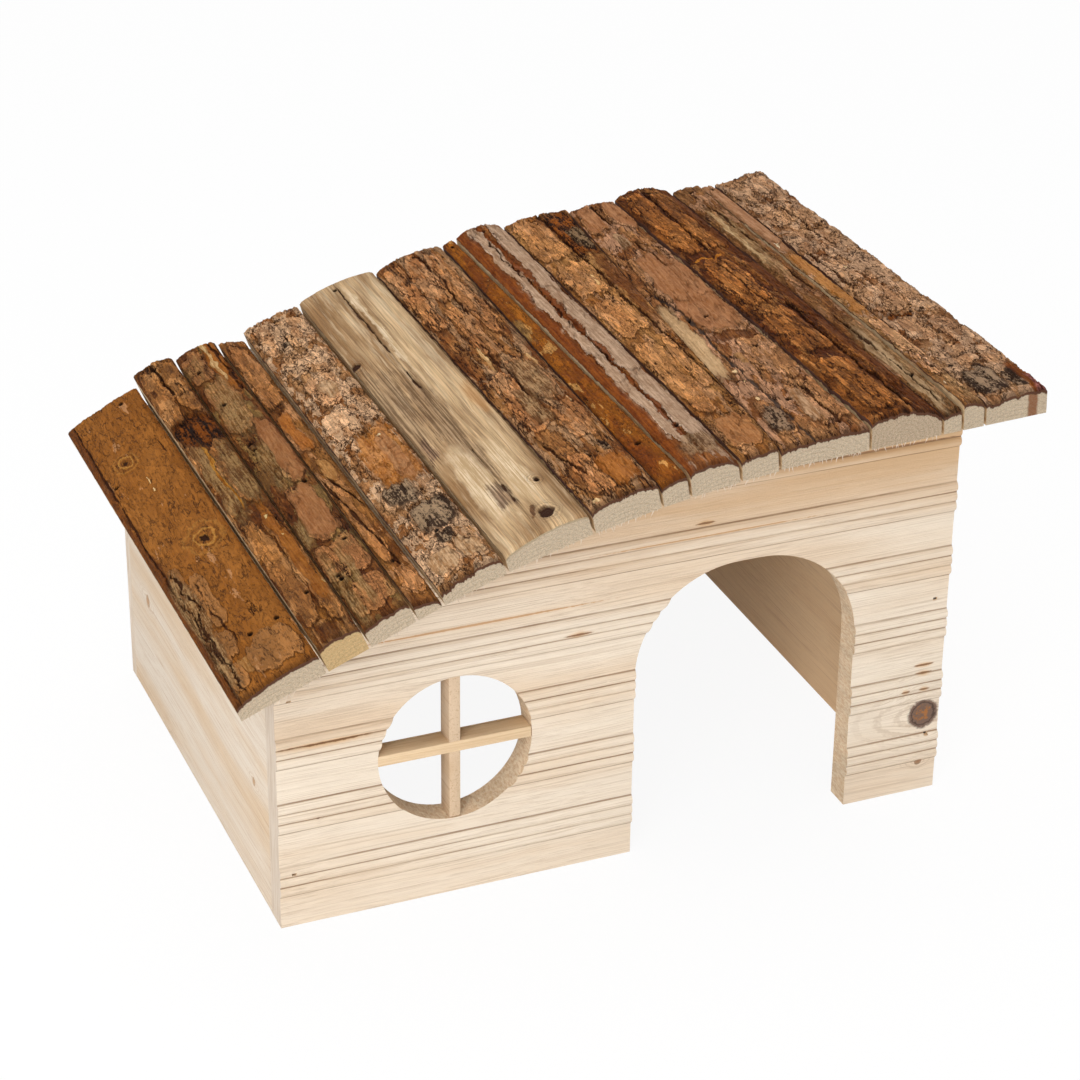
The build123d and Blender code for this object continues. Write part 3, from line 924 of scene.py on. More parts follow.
@dataclass(frozen=True)
class CutFinish:
    """The rough sawn reveal of the doorway and window, and the boards' other cut edges."""

    name: str
    # Both tones are lighter than the wood's own to make up for the shade in the doorway and window: painted
    # light.
    pale: Colour = srgb(254, 232, 202)
    dark: Colour = srgb(230, 194, 152)

    def make(self) -> bpy.types.Material:
        """Builds the material."""
        material, graph, shader = new_material(self.name)
        place = object_mm(graph)
        tufts = graph.noise(place * (0.9, 0.5, 1.6), 5.0, 0.7)
        burn = graph.noise(place * (0.08, 0.05, 0.10), 3.0)
        colour = graph.mix(tufts.rise(0.35, 0.65), self.dark, self.pale)
        colour = colour * burn.rise(0.3, 0.7).between(0.86, 1.10)
        wire(graph, shader, colour, 0.9, tufts * 0.9, 1.0)
        return material


_shared: dict[str, bpy.types.Material] = {}


def end_grain() -> bpy.types.Material:
    """The one material of the boards' sawn ends: pale, with growth rings on edge."""
    if "fir_end" not in _shared:
        material, graph, shader = new_material("fir_end")
        place = object_mm(graph)
        rings = graph.noise(place * (0.5, 0.9, 0.05), 4.0, 0.6)
        pores = graph.noise(place * (2.4, 2.4, 1.2), 4.0, 0.7)
        colour = graph.mix(rings.rise(0.42, 0.7) * 0.6, srgb(228, 212, 194), srgb(196, 166, 132))
        colour = colour * pores.between(0.90, 1.06)
        wire(graph, shader, colour, 0.8, pores * 0.6 + rings * 0.3, 0.8)
        _shared["fir_end"] = material
    return _shared["fir_end"]


@dataclass(frozen=True)
class SteelFinish:
    """Bare brad wire."""

    name: str = "brad_steel_dull"

    def make(self) -> bpy.types.Material:
        """Builds the material."""
        material, graph, shader = new_material(self.name)
        place = object_mm(graph)
        scratch = graph.noise(place * (3.0, 3.0, 3.0), 3.0)
        colour = graph.mix(scratch, srgb(74, 70, 66), srgb(122, 118, 112))
        shader.inputs["Metallic"].default_value = 0.8
        wire(graph, shader, colour, scratch.between(0.4, 0.6), scratch * 0.1, 0.5)
        return material


# ---------------------------------------------------------------------------------------------
# Modelling helpers
# ---------------------------------------------------------------------------------------------


def start_piece(adder: Callable[..., Any], name: str, **options: Any) -> bpy.types.Object:
    """Adds one primitive with nothing else selected.

    Args:
        adder: The operator that adds it.
        name: The new piece's name.
        options: The operator's options.

    Returns:
        The new object.
    """
    bpy.ops.object.select_all(action="DESELECT")
    adder(**options)
    piece = bpy.context.object
    piece.name = name
    piece.data.name = name
    return piece


def copy_node(node: str, name: str) -> bpy.types.Object:
    """Copies a CAD node's mesh into a new piece and joins its loose triangles into flat faces.

    Args:
        node: The CAD node.
        name: The new piece's name.

    Returns:
        The new object, at the origin.
    """
    piece = bpy.data.objects.new(name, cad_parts[node].data.copy())
    piece.data.materials.clear()
    bpy.context.scene.collection.objects.link(piece)
    pick(piece)
    bpy.ops.object.mode_set(mode="EDIT")
    bpy.ops.mesh.select_all(action="SELECT")
    bpy.ops.mesh.remove_doubles(threshold=WELD)
    bpy.ops.mesh.dissolve_limited(angle_limit=FLAT_ANGLE)
    bpy.ops.object.mode_set(mode="OBJECT")
    if piece.data.attributes.get("custom_normal"):
        piece.data.attributes.remove(piece.data.attributes["custom_normal"])
    return piece


def pick(piece: bpy.types.Object) -> None:
    """Makes a piece the only selected and the active one."""
    bpy.ops.object.select_all(action="DESELECT")
    piece.select_set(True)
    bpy.context.view_layer.objects.active = piece


def apply_modifier(piece: bpy.types.Object, kind: str, **settings: Any) -> None:
    """Adds one modifier and applies it.

    Args:
        piece: The piece.
        kind: The modifier's Blender type.
        settings: Its options.
    """
    pick(piece)
    modifier = piece.modifiers.new(kind.lower(), kind)
    for name, value in settings.items():
        setattr(modifier, name, value)
    bpy.ops.object.modifier_apply(modifier=modifier.name)


Keep = dict[str, Signal]


def mould(
    piece: bpy.types.Object,
    shape: Callable[[Graph, Signal, Keep], Signal],
    measure: Callable[[Graph, Signal], Keep] = lambda graph, place: {},
) -> None:
    """Moves every point of a piece by an expression of its place, and applies the result.

    Args:
        piece: The piece.
        shape: Takes a graph, each point's place and the kept vectors, and returns its new place.
        measure: Takes a graph and each point's place, and returns vectors to keep on the mesh by
            name.
    """
    tree = bpy.data.node_groups.new(f"{piece.name}_mould", "GeometryNodeTree")
    tree.interface.new_socket("Geometry", in_out="INPUT", socket_type="NodeSocketGeometry")
    tree.interface.new_socket("Geometry", in_out="OUTPUT", socket_type="NodeSocketGeometry")
    graph = Graph(tree, coloured=False)
    flow = graph.node("NodeGroupInput", {}, {})[0]
    place = graph.node("GeometryNodeInputPosition", {}, {})[0]
    kept = {}
    for name, value in measure(graph, place).items():
        settings = {"data_type": "FLOAT_VECTOR", "domain": "POINT"}
        sockets = {0: flow, "Name": name, "Value": value}
        flow = graph.node("GeometryNodeStoreNamedAttribute", settings, sockets)[0]
        settings = {"data_type": "FLOAT_VECTOR"}
        kept[name] = graph.node("GeometryNodeInputNamedAttribute", settings, {"Name": name})[0]
    moved = shape(graph, place, kept)
    flow = graph.node("GeometryNodeSetPosition", {}, {0: flow, "Position": moved})[0]
    graph.node("NodeGroupOutput", {}, {0: flow})
    pick(piece)
    modifier = piece.modifiers.new("mould", "NODES")
    modifier.node_group = tree
    bpy.ops.object.modifier_apply(modifier=modifier.name)


def thicken_sheet(drop: Sequence[float], layers: int) -> None:
    """Closes a sheet in edit mode: its rim is drawn out in layers and the far side is filled.

    Args:
        drop: How far the rim moves in all.
        layers: In how many steps.
    """
    bpy.context.tool_settings.mesh_select_mode = (False, True, False)
    bpy.ops.mesh.select_all(action="DESELECT")
    bpy.ops.mesh.select_non_manifold()
    step = tuple(part / layers for part in drop)
    for _ in range(layers):
        bpy.ops.mesh.extrude_edges_move(TRANSFORM_OT_translate={"value": step})
    bpy.ops.mesh.edge_face_add()
    bpy.ops.mesh.select_all(action="SELECT")
    bpy.ops.mesh.normals_make_consistent(inside=False)


def face_table(piece: bpy.types.Object) -> tuple[np.ndarray, np.ndarray]:
    """The centres and normals of a piece's faces."""
    faces = piece.data.polygons
    centres = np.zeros(len(faces) * 3)
    normals = np.zeros(len(faces) * 3)
    faces.foreach_get("center", centres)
    faces.foreach_get("normal", normals)
    return centres.reshape(-1, 3), normals.reshape(-1, 3)


def dress(piece: bpy.types.Object, materials: Sequence[bpy.types.Material], choice: np.ndarray) -> None:
    """Gives a piece its materials.

    Args:
        piece: The piece.
        materials: Its materials in order.
        choice: Which of them each face takes.
    """
    piece.data.materials.clear()
    for material in materials:
        piece.data.materials.append(material)
    piece.data.polygons.foreach_set("material_index", choice.astype(np.int32))
    piece.data.update()


def finish_piece(piece: bpy.types.Object, slot: str, *nodes: str, smooth: float = 40.0) -> None:
    """Smooths a piece, seats it in the frame and reports it.

    Args:
        piece: The piece.
        slot: The record's material slot that it stands for; not used.
        nodes: The CAD nodes that it replaces.
        smooth: Edges flatter than this many degrees are smoothed.
    """
    pick(piece)
    bpy.ops.object.shade_smooth_by_angle(angle=radians(smooth))
    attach(piece, "root")
    if nodes:
        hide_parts(*nodes)
    log.info("%s: %d faces", piece.name, len(piece.data.polygons))


# ---------------------------------------------------------------------------------------------
# Roof
# ---------------------------------------------------------------------------------------------


@dataclass
class SlatBlank:
    """The size and seat of one slat, read from its CAD node, in mm."""

    node: str
    pitch: float = 0.0
    base: float = 0.0
    left: Range = (0.0, 0.0)
    right: Range = (0.0, 0.0)
    thickness: tuple[Triple, Triple] = ((0, 0, 0), (0, 0, 0))
    ends: Range = (0.0, 0.0)

    def __post_init__(self) -> None:
        """Measures the node."""
        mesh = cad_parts[self.node].data
        down = sum((f.normal * f.area for f in mesh.polygons if f.normal.z < -0.8), Vector())
        self.pitch = float(np.arctan2(down.x, -down.z))
        points = np.array([vertex.co for vertex in mesh.vertices]) / MM
        across = points[:, 0] * cos(self.pitch) + points[:, 2] * sin(self.pitch)
        above = points[:, 2] * cos(self.pitch) - points[:, 0] * sin(self.pitch)
        self.base = float(above.min())
        self.ends = (float(points[:, 1].min()), float(points[:, 1].max()))
        spans, sections = [], []
        for end in self.ends:
            at_end = np.abs(points[:, 1] - end) < 0.01
            top = at_end & (above > self.base + 1.0)
            spans.append((float(across[at_end].min()), float(across[at_end].max())))
            order = np.argsort(across[top])
            stops = (spans[-1][0], sum(spans[-1]) / 2, spans[-1][1])
            sections.append(tuple(np.interp(stops, across[top][order], above[top][order] - self.base)))
        self.left, self.right = zip(*spans)
        self.thickness = tuple(sections)

    @property
    def width(self) -> float:
        """Mean width."""
        return (sum(self.right) - sum(self.left)) / 2

    @property
    def length(self) -> float:
        """Length along the roof."""
        return self.ends[1] - self.ends[0]


@dataclass
class RoofSlat:
    """One bark-on slat: a dense sheet over its crown, closed below, moulded by its bark."""

    number: int
    look: BarkLook
    plates: Sequence[Plate]
    features: Sequence[Feature]
    brads: Range = (0.5, 0.5)
    end: dict[str, Any] = field(default_factory=dict)
    clean_sides: bool = False
    sink: float = 0.38  # mm taken off the bark's height everywhere
    highest: float = 0.8  # mm that the bark may stand above the solid's crown
    edge_drop: float = 1.0
    back_drop: float = 0.4
    column: float = 0.38
    row: float = 0.58
    side_layers: int = 4

    def build(self) -> bpy.types.Object:
        """Models and dresses the slat.

        Returns:
            The finished piece.
        """
        node = f"roof_slat_{self.number:02d}"
        blank = SlatBlank(node)
        recipe = BarkRecipe(self.look, self.plates, self.features, self.brads, self.number)
        piece = start_piece(
            bpy.ops.mesh.primitive_grid_add,
            f"bark_slat_{self.number:02d}",
            x_subdivisions=round(blank.width / self.column),
            y_subdivisions=round(blank.length / self.row),
            size=1.0,
        )
        bpy.ops.object.mode_set(mode="EDIT")
        bpy.ops.transform.translate(value=(0.5, 0.5, 1.0))
        thicken_sheet((0.0, 0.0, -1.0), self.side_layers)
        bpy.ops.object.mode_set(mode="OBJECT")
        _, normals = face_table(piece)
        is_end = np.abs(normals[:, 1]) > SQUARE_ON
        choice = np.where(normals[:, 2] > SQUARE_ON, 0, np.where(is_end, 1, 2))
        mould(
            piece,
            lambda graph, place, kept: self._shape(graph, place, kept, blank),
            lambda graph, place: self._measure(graph, place, blank, recipe),
        )
        slot = "debarked_slab" if self.look.debarked else "bark_slab"
        crown = BarkFinish(f"bark_{self.number:02d}", recipe, blank.width, blank.length).make()
        end = SawnEndFinish(f"sawn_end_{self.number:02d}", **self.end).make()
        dress(piece, (crown, end, sawn_side(self.clean_sides)), choice)
        finish_piece(piece, slot, node, smooth=50.0)
        return piece

    def _measure(self, graph: Graph, place: Signal, blank: SlatBlank, recipe: BarkRecipe) -> Keep:
        """Lays the bark on the unit sheet: x is the share across, y along from the front, z the layer."""
        share, run, layer = (place.part(index) for index in range(3))
        wide = run.between(blank.right[0] - blank.left[0], blank.right[1] - blank.left[1])
        bark_share = graph.join(share, 1 - run, 0.0)
        bark_place = graph.join(share * wide, (1 - run) * blank.length, 0.0)
        bark = recipe.write(graph, bark_place, bark_share, blank.width, blank.length)

        (l0, c0, r0), (l1, c1, r1) = blank.thickness
        constant = run.between(l0, l1)
        slope = run.between(4 * c0 - 3 * l0 - r0, 4 * c1 - 3 * l1 - r1)
        bow = run.between(2 * l0 + 2 * r0 - 4 * c0, 2 * l1 + 2 * r1 - 4 * c1)
        profile = constant + slope * share + bow * share * share

        chew = graph.noise(bark_place * (0.22, 0.22, 1.0), 4.0, 0.6)
        to_end = (run.least((1 - run) + 0.006)) * blank.length
        worn = to_end.rise(2.4, -0.6) * chew.between(0.7, 1.3) * run.between(self.edge_drop, self.back_drop)
        to_side = share.least(1 - share) * wide
        worn = worn + to_side.rise(1.3, 0.0) * chew.between(0.1, 0.8)
        relief = (bark.height - self.sink).least(self.highest)
        top = (profile + relief - worn).most(1.5)
        above = top * layer
        return {
            "bark_place": bark_place,
            "bark_share": bark_share,
            "sawn_place": graph.join(share * wide, above, top - above),
        }

    def _shape(self, graph: Graph, place: Signal, kept: Keep, blank: SlatBlank) -> Signal:
        """Turns the unit sheet into the slat where it lies on the roof."""
        share, run = place.part(0), place.part(1)
        aside, above = kept["sawn_place"].part(0), kept["sawn_place"].part(1)
        hem_place = kept["bark_place"] * (0.0, 0.16, 1.0) + (0.0, 0.0, 5.0)
        hem = graph.noise(hem_place, 5.0, 0.65).between(0.0, 0.7)
        inward = (0.5 - share) * 2.0
        across = run.between(*blank.left) + aside + inward * abs(inward) ** 6.0 * hem
        rough = graph.noise(graph.join(aside * 0.9, above * 0.9, run * 3.0), 4.0, 0.7) * 0.35
        away = (0.5 - run) * 2.0
        y = run.between(*blank.ends) + away * abs(away) ** 80.0 * rough
        x = across * cos(blank.pitch) - (above + blank.base) * sin(blank.pitch)
        z = across * sin(blank.pitch) + (above + blank.base) * cos(blank.pitch)
        return graph.join(x, y, z) * (MM, MM, MM)


def sawn_side(clean: bool) -> bpy.types.Material:
    """The shared material of the slats' sides: one with the bark's edge on it and one without."""
    name = "sawn_side_clean" if clean else "sawn_side"
    if name not in _shared:
        _shared[name] = SawnSideFinish(name, skin=0.9 if clean else 3.2).make()
    return _shared[name]


def roof_slats() -> list[RoofSlat]:
    """All slats from left to right, with the finish and features of each."""
    return [
        RoofSlat(
            1,
            BarkLook(
                tone=(1.31, 1.24, 0.98), inner=srgb(134, 82, 30), outer=srgb(152, 98, 46),
                flake=(9.0, 40.0), flake_lift=0.08, crack_share=0.0, tint_share=0.0, fibre=0.07,
                plate_tone=srgb(140, 100, 66), plate_share=0.7, contrast=0.38, slits=0.25,
            ),
            (
                (0.11, 0.26, 0.59, 0.70), (0.24, 0.45, 0.64, 0.80), (0.10, 0.36, 0.81, 0.90),
                (0.10, 0.30, 0.91, 0.98), (0.40, 0.95, 0.88, 0.98),
            ),
            [
                Patch(Mark.DARK, (-0.05, 0.10), (-0.1, 1.1)),
                Crack((0.095, -0.02), (0.085, 1.02), 0.5, 0.6, 0.5),
                Patch(Mark.ASH, (0.06, 0.24), (0.60, 0.98)),
                Crack((0.21, 0.60), (0.19, 0.98), 0.7, 0.9, 2.0),
                Crack((0.13, 0.66), (0.12, 0.90), 0.5, 0.8, 1.6),
                Crack((0.30, 0.66), (0.38, 0.86), 0.4, 0.5, 1.8),
                Crack((0.86, 0.20), (0.88, 0.25), 0.4, 0.4, 0.4),
                Knot((0.40, 0.215), 5.0, 1.1),
                Knot((0.695, 0.553), 7.5, 1.1),
                Patch(Mark.FLECK, (0.50, 0.52), (0.29, 0.305)),
                Patch(Mark.FLECK, (0.50, 0.515), (0.325, 0.34)),
                Patch(Mark.TAN, (0.30, 0.40), (0.91, 0.945)),
                *holes((0.16, 0.264), (0.54, 0.863)),
            ],
            (0.73, 0.86),
        ),
        RoofSlat(
            2,
            BarkLook(
                tone=(1.08, 1.01, 0.69), inner=srgb(98, 52, 18), outer=srgb(140, 92, 46),
                crack_share=0.3,
            ),
            (
                (0.05, 0.48, 0.02, 0.23), (0.56, 0.95, 0.02, 0.21), (0.08, 0.38, 0.33, 0.58),
                (0.48, 0.95, 0.33, 0.56), (0.06, 0.50, 0.61, 0.94), (0.56, 0.94, 0.60, 0.96),
            ),
            [
                Crack((0.52, 0.0), (0.52, 0.14), 0.7),
                Patch(Mark.DARK, (0.14, 0.28), (0.09, 0.115)),
                Patch(Mark.TORN, (0.08, 0.97), (0.225, 0.325)),
                Patch(Mark.ASH, (0.10, 0.50), (0.33, 0.60)),
                Patch(Mark.RESIN, (0.36, 0.45), (0.33, 0.56)),
                Patch(Mark.ASH, (0.56, 0.98), (0.335, 0.57)),
                Patch(Mark.ORANGE, (0.62, 0.92), (0.56, 0.90)),
                Patch(Mark.FLECK, (0.72, 0.78), (0.607, 0.613)),
                Patch(Mark.FLECK, (0.73, 0.77), (0.672, 0.678)),
                Patch(Mark.FLECK, (0.88, 0.93), (0.847, 0.853)),
                Patch(Mark.DARK, (0.2, 0.65), (0.955, 1.0)),
            ],
            end={"pale": srgb(226, 192, 138), "ring": srgb(196, 148, 88)},
            clean_sides=True,
        ),
        RoofSlat(
            3,
            BarkLook(
                tone=(1.31, 1.26, 1.07), inner=srgb(86, 44, 14), outer=srgb(128, 82, 42),
                tint=srgb(134, 104, 62), crack_share=0.3,
            ),
            (
                (0.05, 0.55, 0.02, 0.13), (0.12, 0.75, 0.15, 0.34), (0.50, 0.96, 0.36, 0.55),
                (0.22, 0.85, 0.57, 0.74), (0.04, 0.96, 0.76, 0.87), (0.10, 0.94, 0.89, 0.98),
            ),
            [
                Patch(Mark.ORANGE, (0.60, 0.97), (-0.02, 0.19)),
                Patch(Mark.CREAM, (0.66, 0.74), (-0.02, 0.15)),
                Patch(Mark.TORN, (0.92, 1.1), (0.02, 0.22)),
                Crack((0.84, 0.0), (0.88, 0.20), 0.9, 1.0, 0.6),
                Patch(Mark.LICHEN, (0.18, 0.72), (0.15, 0.35)),
                Patch(Mark.LICHEN, (0.25, 0.60), (0.40, 0.56)),
                Patch(Mark.PINK, (0.56, 0.97), (0.33, 0.55)),
                Patch(Mark.PINK, (0.24, 0.84), (0.575, 0.735)),
                Patch(Mark.LICHEN, (0.0, 0.26), (0.66, 0.74)),
                Patch(Mark.LICHEN, (0.06, 0.30), (0.79, 1.0)),
                Patch(Mark.LICHEN, (0.42, 0.60), (0.78, 0.96)),
                *holes(
                    (0.28, 0.095), (0.33, 0.23), (0.30, 0.38), (0.31, 0.405), (0.77, 0.56), (0.74, 0.77),
                    (0.22, 0.85),
                ),
            ],
            (0.2, 0.24),
        ),
        RoofSlat(
            4,
            BarkLook(
                tone=(1.39, 1.29, 1.01), inner=srgb(104, 60, 24), outer=srgb(148, 102, 58),
                crack_share=0.3,
            ),
            (
                (0.08, 0.90, 0.03, 0.28), (0.10, 0.62, 0.31, 0.46), (0.30, 0.75, 0.51, 0.58),
                (0.10, 0.60, 0.61, 0.86), (0.20, 0.85, 0.89, 0.97),
            ),
            [
                Patch(Mark.ORANGE, (0.12, 0.60), (0.31, 0.46)),
                Patch(Mark.TAN, (0.30, 0.72), (0.512, 0.575)),
                Crack((0.07, 0.57), (0.63, 0.875), 0.7, 0.9, 0.6),
                Crack((0.30, 0.56), (0.90, 0.67), 0.6, 0.9, 0.5),
            ],
        ),
        RoofSlat(
            5,
            BarkLook(
                tone=(1.76, 1.86, 1.78), inner=srgb(116, 68, 32), outer=srgb(162, 118, 80),
                flake=(4.0, 9.0), flake_lift=0.42, crack=(5.0, 9.0), crack_share=1.0,
                tint=srgb(176, 138, 108), tint_share=0.8, plate_tone=srgb(174, 132, 100), slits=0.2,
                contrast=0.8,
            ),
            (
                (0.10, 0.50, 0.02, 0.13), (0.52, 0.92, 0.03, 0.14), (0.16, 0.54, 0.15, 0.24),
                (0.58, 0.94, 0.16, 0.26), (0.24, 0.80, 0.26, 0.37), (0.14, 0.56, 0.39, 0.49),
                (0.60, 0.94, 0.38, 0.48), (0.24, 0.52, 0.51, 0.66), (0.56, 0.92, 0.50, 0.65),
                (0.12, 0.66, 0.68, 0.76), (0.70, 0.97, 0.66, 0.75), (0.24, 0.94, 0.77, 0.87),
                (0.08, 0.56, 0.89, 0.98), (0.60, 0.95, 0.88, 0.98),
            ),
            [
                Patch(Mark.LUMP, (0.38, 0.54), (0.12, 0.14)),
                Patch(Mark.DARK, (0.13, 0.22), (0.16, 0.18)),
                Patch(Mark.DARK, (0.80, 0.90), (0.0, 0.03)),
                Patch(Mark.LEAF, (0.42, 0.66), (0.29, 0.35)),
                Patch(Mark.ORANGE, (0.30, 1.0), (0.49, 0.69)),
                Patch(Mark.PINK, (0.62, 0.84), (0.52, 0.68)),
                Patch(Mark.FLECK, (0.65, 0.71), (0.527, 0.535)),
                Patch(Mark.LUMP, (0.20, 0.60), (0.685, 0.755)),
                Patch(Mark.LUMP, (0.30, 0.93), (0.77, 0.855)),
                Patch(Mark.LUMP, (0.40, 0.68), (0.87, 0.905)),
                Patch(Mark.LEAF, (0.12, 0.52), (0.92, 0.97)),
                Patch(Mark.LEAF, (0.60, 0.92), (0.91, 0.97)),
            ],
        ),
        RoofSlat(
            6,
            BarkLook(
                inner=srgb(148, 112, 72), outer=srgb(206, 174, 130), tint=srgb(122, 88, 56),
                front_dark=0.0, debarked=True, tone=(1.09, 1.09, 1.14),
            ),
            (),
            [
                Patch(Mark.STAIN, (-0.1, 0.30), (0.34, 0.66)),
                Patch(Mark.STAIN, (0.30, 0.55), (0.40, 0.80)),
                Patch(Mark.PALE, (0.15, 0.42), (0.68, 0.92)),
                Patch(Mark.PALE, (0.55, 0.78), (0.70, 0.90)),
                Patch(Mark.PALE, (0.52, 0.60), (0.02, 0.40)),
                Patch(Mark.PLUM, (0.04, 0.16), (0.61, 0.68)),
                Patch(Mark.PLUM, (0.30, 0.48), (0.83, 0.90)),
                Patch(Mark.RUST, (0.84, 1.0), (0.50, 0.60)),
                Crack((0.475, 0.01), (0.475, 0.31), 0.5, 0.5, 0.6),
                Crack((0.475, 0.39), (0.47, 0.46), 0.5, 0.5, 0.4),
                Crack((0.47, 0.70), (0.47, 0.73), 0.5, 0.5, 0.4),
                Crack((0.46, 0.83), (0.45, 0.89), 0.6, 0.5, 0.4),
                Knot((0.04, 0.295), 4.0, 1.6, srgb(112, 74, 44)),
                Knot((0.80, 0.855), 3.6, 0.8, srgb(150, 112, 74)),
                Knot((0.66, 0.955), 5.0, 2.6, srgb(104, 66, 38)),
                Patch(Mark.DARK, (0.50, 0.60), (0.93, 0.955)),
            ],
            (0.45, 0.8),
            end={"bark": srgb(196, 172, 138), "bark_depth": 0.8},
            clean_sides=True,
        ),
        RoofSlat(
            7,
            BarkLook(
                tone=(1.44, 1.37, 1.17), inner=srgb(108, 60, 24), outer=srgb(154, 108, 66),
                flake=(4.0, 26.0), crack=(4.0, 30.0), crack_share=0.7, tint=srgb(158, 122, 92),
                tint_share=0.6,
            ),
            (
                (0.04, 0.30, 0.02, 0.30), (0.34, 0.60, 0.02, 0.22), (0.64, 0.88, 0.03, 0.38),
                (0.34, 0.60, 0.26, 0.45), (0.46, 0.86, 0.48, 0.64), (0.12, 0.42, 0.52, 0.74),
                (0.50, 0.92, 0.67, 0.81), (0.18, 0.50, 0.85, 0.98), (0.56, 0.92, 0.87, 0.97),
            ),
            [
                Patch(Mark.CREAM, (0.31, 0.36), (0.42, 0.50)),
                Patch(Mark.CREAM, (0.85, 0.90), (0.49, 0.53)),
                Patch(Mark.ASH, (0.46, 0.82), (0.50, 0.64)),
                Patch(Mark.ASH, (0.27, 0.50), (0.60, 0.72)),
                Patch(Mark.PLUM, (0.90, 1.0), (0.38, 0.45)),
                Patch(Mark.FLECK, (0.85, 0.89), (0.677, 0.683)),
                Crack((0.12, 0.77), (0.28, 0.91), 1.0, 1.1, 0.8),
                Crack((0.62, 0.02), (0.60, 0.30), 0.6, 0.8, 1.2),
                Crack((0.40, 0.40), (0.44, 0.62), 0.6, 0.8, 1.0),
                Patch(Mark.LUMP, (0.71, 0.83), (0.83, 0.86)),
                Patch(Mark.ORANGE, (0.50, 0.90), (0.88, 0.97)),
                Patch(Mark.FLECK, (0.13, 0.19), (0.98, 0.99)),
            ],
            (0.55, 0.5),
        ),
        RoofSlat(
            8,
            BarkLook(
                tone=(1.39, 1.37, 0.74), inner=srgb(104, 50, 12), outer=srgb(136, 80, 30),
                flake_lift=0.1, crack_share=0.0, tint_share=0.0, contrast=0.7, slits=0.3,
            ),
            (),
            [Patch(Mark.PLUM, (0.0, 0.35), (0.35, 0.44))],
        ),
        RoofSlat(
            9,
            # The grey plate tone and the grey strips on this slat stand for the light's sheen on its bark:
            # painted sheen.
            BarkLook(
                tone=(1.31, 1.26, 1.19), inner=srgb(104, 56, 22), outer=srgb(146, 92, 48),
                dark=srgb(70, 32, 10), flake=(3.5, 26.0), crack_share=0.2, tint=srgb(176, 148, 124),
                tint_share=0.3, plate_tone=srgb(186, 160, 138), plate_share=1.0, contrast=0.6,
                slits=0.5,
            ),
            (
                (0.22, 0.44, 0.01, 0.14), (0.56, 0.94, 0.01, 0.30), (0.24, 0.42, 0.22, 0.45),
                (0.52, 0.95, 0.36, 0.65), (0.24, 0.46, 0.49, 0.68), (0.54, 0.95, 0.68, 0.93),
                (0.24, 0.50, 0.72, 0.92),
            ),
            [
                Patch(Mark.RUSSET, (-0.2, 0.20), (-0.1, 1.1)),
                Patch(Mark.GREY_SHEEN, (0.25, 0.43), (0.0, 0.95)),
                Patch(Mark.GREY_SHEEN, (0.56, 0.93), (0.0, 0.95)),
                Crack((0.46, 0.0), (0.50, 0.50), 1.5, 0.7, 1.8, srgb(120, 62, 24)),
                Crack((0.50, 0.44), (0.46, 0.97), 1.2, 0.7, 1.8, srgb(120, 62, 24)),
                Crack((0.40, 0.06), (0.52, 0.62), 0.5, 0.9, 1.8, srgb(60, 28, 10)),
                Crack((0.93, 0.25), (0.93, 0.42), 0.8, 0.8, 0.5, srgb(84, 42, 16)),
                Patch(Mark.ASH, (0.25, 0.92), (0.90, 0.97)),
            ],
            clean_sides=True,
        ),
        RoofSlat(
            10,
            BarkLook(
                tone=(1.59, 1.56, 1.31), inner=srgb(118, 70, 30), outer=srgb(160, 114, 70),
                crack_share=0.4, tint=srgb(168, 122, 88),
            ),
            (
                (0.04, 0.50, 0.02, 0.20), (0.06, 0.58, 0.23, 0.36), (0.08, 0.66, 0.39, 0.53),
                (0.06, 0.50, 0.56, 0.84), (0.56, 0.86, 0.57, 0.76), (0.10, 0.92, 0.87, 0.97),
            ),
            [
                Patch(Mark.TORN, (0.56, 1.0), (0.0, 0.20)),
                Patch(Mark.LUMP, (0.70, 0.98), (0.08, 0.17)),
                Patch(Mark.DARK, (0.74, 1.0), (0.20, 0.50)),
                Crack((0.54, 0.0), (0.61, 0.21), 1.0, 1.1, 0.9),
                Crack((0.61, 0.21), (0.68, 0.36), 1.0, 1.1, 0.7),
                Crack((0.68, 0.36), (0.78, 0.56), 0.9, 1.1, 0.7),
                Crack((0.78, 0.56), (0.95, 0.78), 0.9, 1.1, 0.7),
                Patch(Mark.CREAM, (0.48, 0.53), (0.29, 0.31)),
                Patch(Mark.CREAM, (0.43, 0.47), (0.32, 0.34)),
                Patch(Mark.PINK, (0.12, 0.90), (0.875, 0.965)),
            ],
            (0.4, 0.58),
        ),
        RoofSlat(
            11,
            BarkLook(
                tone=(1.52, 1.5, 1.43), inner=srgb(114, 66, 30), outer=srgb(156, 110, 70),
                crack_share=0.6, tint=srgb(170, 126, 96), tint_share=0.6, plate_tone=srgb(158, 114, 76),
            ),
            (
                (0.04, 0.42, 0.02, 0.13), (0.56, 0.96, 0.02, 0.13), (0.16, 0.62, 0.26, 0.45),
                (0.68, 0.96, 0.31, 0.45), (0.32, 0.94, 0.47, 0.60), (0.50, 0.97, 0.63, 0.78),
                (0.52, 0.97, 0.80, 0.96), (0.08, 0.34, 0.84, 0.96),
            ),
            [
                Patch(Mark.PINK, (0.06, 0.43), (0.02, 0.125)),
                Patch(Mark.PINK, (0.60, 0.95), (0.02, 0.125)),
                Crack((0.45, 0.0), (0.47, 0.11), 0.9, 1.0, 0.8),
                Patch(Mark.ASH, (0.30, 0.50), (0.15, 0.21)),
                Crack((0.50, 0.18), (0.95, 0.24), 0.8, 1.0, 1.5),
                Crack((0.60, 0.19), (0.72, 0.31), 0.7, 1.0, 1.2),
                Patch(Mark.PINK, (0.28, 0.94), (0.25, 0.59)),
